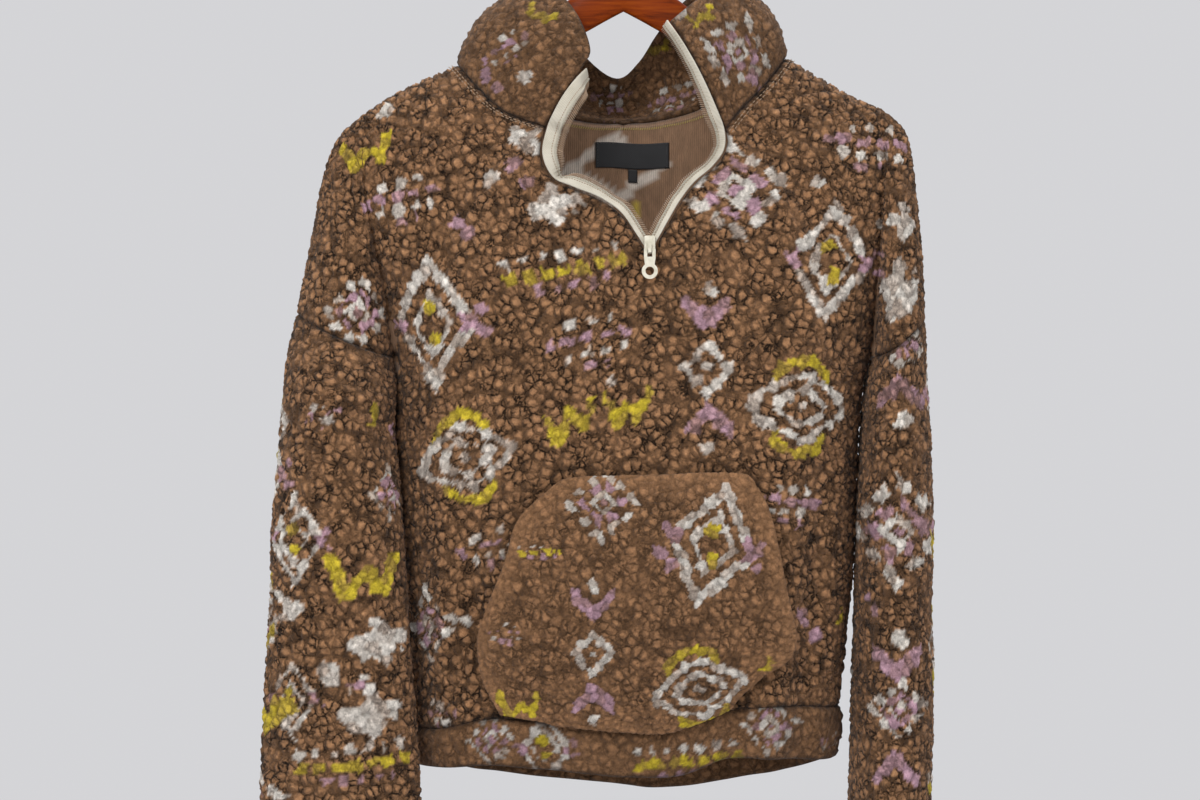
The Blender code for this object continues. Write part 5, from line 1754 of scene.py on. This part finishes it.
@dataclass(frozen=True)
class NeckLabels:
    """The woven labels inside the back of the neck, left bare. Places and sizes in millimetres."""

    form: GarmentForm
    neck_middle: tuple[float, float] = (8.0, -228.0)
    neck_size: tuple[float, float] = (65.0, 22.0)
    neck_gap: float = 0.7
    tab_middle: tuple[float, float] = (8.5, -245.0)
    tab_size: tuple[float, float] = (8.0, 11.0)
    tab_gap: float = 0.5
    thick: float = 0.6
    cloth: float = 5.0
    sag: float = 0.8
    stitch: StitchRow = StitchRow(pitch=2.6, long=2.0, wide=0.5, high=0.45)

    def label(self, name: str, middle: tuple, size: tuple, gap: float, weave: bpy.types.Material) -> tuple:
        """One label and its face's grid."""
        across = np.linspace(-size[0] / 2, size[0] / 2, max(8, round(size[0])))
        down = np.linspace(size[1] / 2, -size[1] / 2, max(8, round(size[1])))
        flat = np.stack(np.meshgrid(middle[0] + across, middle[1] + down), axis=-1)
        flat[..., 1] -= self.sag * np.sin(flat[..., 0] / 11.0)
        normal = self.form.face_normal(Face.BACK, flat)
        grid = self.form.on_face(Face.BACK, flat) - normal * (self.cloth + gap + 0.05)
        grid -= normal * (0.25 * (1 + np.sin(flat[..., 0] / 7.0)))[..., None]
        return plate(name, grid - normal * self.thick, -normal, self.thick, weave, True), grid, normal

    def build(self, weave: bpy.types.Material, thread: bpy.types.Material) -> None:
        """Builds both labels and the stitches at the big one's ends."""
        neck, grid, normal = self.label(
            "neck_label_weave", self.neck_middle, self.neck_size, self.neck_gap, weave
        )
        tab, _, _ = self.label("size_label_weave", self.tab_middle, self.tab_size, self.tab_gap, weave)
        rows = [(grid[1:-1, place] - normal[1:-1, place] * (self.thick + 0.2), -normal[1:-1, place])
                for place in (2, -3)]
        rows.append((grid[1, 2:-2] - normal[1, 2:-2] * (self.thick + 0.2), -normal[1, 2:-2]))
        sewn = self.stitch.along("neck_label_stitches", rows, thread)
        wear(neck, "label", "neck_label")
        wear(tab, "label", "size_label")
        wear(sewn, "label")


@dataclass(frozen=True)
class Hanger:
    """The wooden hanger that fills the shoulders, and its wire hook."""

    thick: float = 12.0
    boxy: float = 0.8
    sides: int = 28
    wire: float = 2.2
    inner: float = 17.0
    turn: float = 215.0
    sink: float = 14.0
    end_round: float = 5.0
    bow_start: float = -72.0
    bow_more: float = 30.0

    def arms(self, wood: bpy.types.Material) -> bpy.types.Object:
        """The arms, lofted through the profile's sections."""
        half = smooth_line(ARM_PROFILE, 6)
        reach = half[-1, 0]
        close = np.sqrt(np.clip((reach - half[:, 0]) / self.end_round, 0, 1))
        keep = half[:, 0] < reach - 0.02
        half, close = half[keep], np.maximum(close[keep], 0.12)
        rows = np.column_stack([half, close])
        rows = np.vstack([rows[:0:-1] * (-1, 1, 1, 1), rows])
        turn = np.linspace(0, 2 * math.pi, self.sides + 1)
        rings = []
        for x, top, bottom, shut in rows:
            across = shut * self.thick / 2 * np.sign(np.cos(turn)) * np.abs(np.cos(turn)) ** self.boxy
            up = (top + bottom) / 2 + shut * (top - bottom) / 2 * np.sin(turn)
            rings.append(np.column_stack([np.full(len(turn), x), across, up]))
        grid = np.array(rings)
        grid[:, -1] = grid[:, 0]
        sheet = Sheet.from_grids([(grid, False)])
        faces = [tuple(corners_of(quad)) for quad in sheet.quads.tolist()]
        faces.append(tuple(sheet.grids[0][0, :-1].tolist()))
        faces.append(tuple(sheet.grids[0][-1, :-1].tolist())[::-1])
        return mesh_piece("hanger_arms_wood", sheet.points, faces, [wood])

    def hook(self, metal: bpy.types.Material) -> bpy.types.Object:
        """The stem that turns into an open hook."""
        radius = self.inner + self.wire
        middle = -self.inner
        foot = ARM_PROFILE[0][1] - self.sink
        stem = np.column_stack([np.zeros(4), np.linspace(foot, middle - radius - 6, 4)])
        end = self.bow_start + self.turn + self.bow_more
        angle = np.radians(np.linspace(self.bow_start, end, 44))
        bow = np.column_stack([radius * np.cos(angle), middle + radius * np.sin(angle)])
        line = smooth_line(np.vstack([stem, bow]), 3)
        curve = bpy.data.curves.new("hook_line", "CURVE")
        curve.dimensions = "3D"
        curve.bevel_depth = self.wire * MM
        curve.bevel_resolution = 5
        curve.use_fill_caps = True
        spline = curve.splines.new("POLY")
        spline.points.add(len(line) - 1)
        for point, (x, z) in zip(spline.points, line):
            point.co = (x * MM, 0, z * MM, 1)
        holder = bpy.data.objects.new("hook_line", curve)
        mesh = bpy.data.meshes.new_from_object(holder)
        bpy.data.objects.remove(holder)
        mesh.materials.clear()
        mesh.materials.append(metal)
        mesh.shade_smooth()
        return linked("hanger_hook_wire", mesh)

    def build(self, wood: bpy.types.Material, metal: bpy.types.Material) -> None:
        """Builds the arms and the hook."""
        wear(self.arms(wood), "hanger_wood", "hanger_arms")
        wear(self.hook(metal), "hook_wire", "hanger_hook")


@dataclass(frozen=True)
class Garment:
    """The sweater's fleece pieces, sewn from one form."""

    form: GarmentForm
    fleece: Fleece
    thread: bpy.types.Material
    yellow_thread: bpy.types.Material
    fine: int = 10
    wall: float = 5.0
    double_wall: float = 7.0
    curly: Pile = Pile()
    # light darkens a piece's whole pile; on the collar this is partly painted shade.
    collar_pile: Pile = Pile(spacing=5.6, deep=2.0, gap=3.6, shade=0.6, light=0.64, crisp=0.7, seed=21)
    band_pile: Pile = Pile(spacing=6.2, deep=2.2, gap=3.9, shade=0.6, light=0.64, crisp=0.6, seed=31)
    pocket_pile: Pile = Pile(spacing=5.8, deep=2.0, gap=3.6, shade=0.66, light=0.84, edge=0.85, calm=30.0,
                             crisp=0.8, seed=41)
    twin: tuple[float, float] = (3.2, 6.0)
    seam_stitch: StitchRow = StitchRow(pitch=4.2, long=3.4, wide=0.9, high=0.8)
    overlock: StitchRow = StitchRow(pitch=2.0, long=3.0, wide=0.8, high=0.7, slant=1.1)

    def sheets(self) -> dict[str, Sheet]:
        """The pieces' outer faces, with directions that agree at the seams."""
        form, fine = self.form, self.fine
        found = {
            "front": Sheet.from_grids(form.panel_grids(Face.FRONT, fine)),
            "back": Sheet.from_grids(form.panel_grids(Face.BACK, fine)),
            "sleeve_left": Sheet.from_grids([(form.sleeve_grid(Side.LEFT, fine), True)]),
            "sleeve_right": Sheet.from_grids([(form.sleeve_grid(Side.RIGHT, fine), False)]),
            "collar": Sheet.from_grids([(form.collar_grid(fine), False)]),
            "hem_band": Sheet.from_grids([(form.band_grid(fine), True)]),
        }
        sew(list(found.values()))
        found["collar"] = found["collar"].finer((1, 2))
        found["pocket"] = Sheet.from_grids([(form.pocket_grid(3 * fine // 2), True)])
        sew([found["pocket"]])
        return found

    def build(self) -> None:
        sheets = self.sheets()
        piles = {
            "front": replace(self.curly, seed=3), "back": replace(self.curly, seed=5),
            "sleeve_left": replace(self.curly, seed=7), "sleeve_right": replace(self.curly, seed=9),
            "collar": self.collar_pile, "hem_band": self.band_pile, "pocket": self.pocket_pile,
        }
        for name, sheet in sheets.items():
            double = name in ("collar", "hem_band")
            half = {"front": -1, "back": 1}.get(name, 0)
            thick = self.double_wall if double else self.wall
            step = {"back": 2}.get(name, 5)
            under = sheets["pocket"] if name == "front" else None
            piece = self.fleece.piece(name, sheet, thick, piles[name], step, double, half, under)
            wear(piece, "fleece", name)
            area = corner_areas(sheet.points - sheet.normals * thick / 2, sheet.quads)
            wide, long = np.ptp(sheet.points[:, 0]) * MM, np.ptp(sheet.points[:, 2]) * MM
            if name.startswith("sleeve") or name in ("hem_band", "collar"):
                wide = area / long
            wide = max(wide, area / long * 1.001)
        self.seams(sheets)

    def seams(self, sheets: dict[str, Sheet]) -> None:
        """Twin stitching below the collar's seam, outside and inside."""
        outside, inside, rows_off = [], [], {}
        for face, rows in ((Face.FRONT, self.form.front_neck_rows), (Face.BACK, self.form.back_neck_rows)):
            for side in Side:
                flat = self.form.torso_patch(face, side, self.fine)[: rows * self.fine + 1]
                away = unit(flat[:, 8] - flat[:, 0])
                rows_off[face, side] = [flat[:, 0] + away * off for off in self.twin]
            for left, right in zip(rows_off[face, Side.LEFT], rows_off[face, Side.RIGHT]):
                lines = [left, right] if face == Face.FRONT else [np.vstack([left[:-6], right[:-6][::-1]])]
                for line in lines:
                    normal = self.form.face_normal(face, line)
                    at = self.form.on_face(face, line)
                    outside.append((at + normal * 0.1, normal))
                    if face == Face.BACK:
                        inside.append((at - normal * (self.wall + 0.3), -normal))
        wear(self.seam_stitch.along("collar_seam_stitches", outside, self.thread), "fleece")
        wear(self.overlock.along("neck_seam_overlock", inside[::2], self.thread), "fleece")
        lower = self.overlock.along("neck_seam_overlock_lower", inside[1::2], self.yellow_thread)
        wear(lower, "fleece")


@dataclass(frozen=True)
class Studio:
    """A plain pale floor and plain soft light."""

    floor_z: float = -1.15
    floor_half: float = 1.6
    backdrop: str = "#E9E9EC"
    world: float = 0.81
    lamps: tuple = (
        ("key", (-0.9, -1.9, 0.75), (0, 0, -0.4), 1.1, 34.0),
        ("fill", (1.4, -1.6, 0.0), (0, 0, -0.45), 1.2, 12.0),
        ("top", (0.1, 0.5, 1.3), (0, 0, -0.3), 1.2, 22.0),
    )

    def light(self, name: str, place: tuple, aim: tuple, size: float, power: float) -> None:
        """An area light at a place, aimed at another."""
        data = bpy.data.lights.new(name, "AREA")
        data.shape = "SQUARE"
        data.size = size
        data.energy = power
        lamp = linked(name, data)
        lamp.location = place
        lamp.rotation_euler = (Vector(aim) - Vector(place)).to_track_quat("-Z", "Y").to_euler()

    def build(self) -> None:
        """Builds the floor, the sky and the lights."""
        half, z = self.floor_half / MM, self.floor_z / MM
        corners = np.array([(-half, -half, z), (half, -half, z), (half, half, z), (-half, half, z)])
        mesh_piece("floor", corners, [(0, 1, 2, 3)], [Paint().build()])
        world = bpy.data.worlds.new("studio")
        bpy.context.scene.world = world
        world.use_nodes = True
        sky = world.node_tree.nodes["Background"]
        sky.inputs["Color"].default_value = linear(self.backdrop)
        sky.inputs["Strength"].default_value = self.world
        for lamp in self.lamps:
            self.light(*lamp)
        bpy.context.scene.view_settings.view_transform = "Standard"


def main() -> None:
    """Builds the scene in the frame."""
    logging.basicConfig(level=logging.INFO, format="%(name)s: %(message)s")
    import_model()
    camera = Camera()
    camera.build()
    form = GarmentForm()
    tape = WovenTape("cream woven tape", "#C2BBAB", "#9F9886").build()
    coil = Thread("cream zip coil", "#B5AE9D").build()
    brown_thread = Thread("brown sewing thread", "#8E745A").build()
    yellow_thread = Thread("yellow sewing thread", "#B3A04A").build()
    fleece = Fleece(Printing(camera), SherpaPile().build(), KnitReverse().build())
    Garment(form, fleece, brown_thread, yellow_thread).build()
    for side in Side:
        ZipTape(form, side).build(tape, coil, brown_thread)
    black = WovenTape("black woven label", "#151518", "#08080A", 0.8, 0.6).build()
    NeckLabels(form).build(black, Thread("black label thread", "#18181B").build())
    Hanger().build(CherryWood().build(), ChromedWire().build())
    enamel = Enamel().build()
    for node in ("zip_slider", "zip_pull_tab"):
        for slot in bpy.data.objects[node].material_slots:
            slot.material = enamel
    Studio().build()


if __name__ == "__main__":
    main()
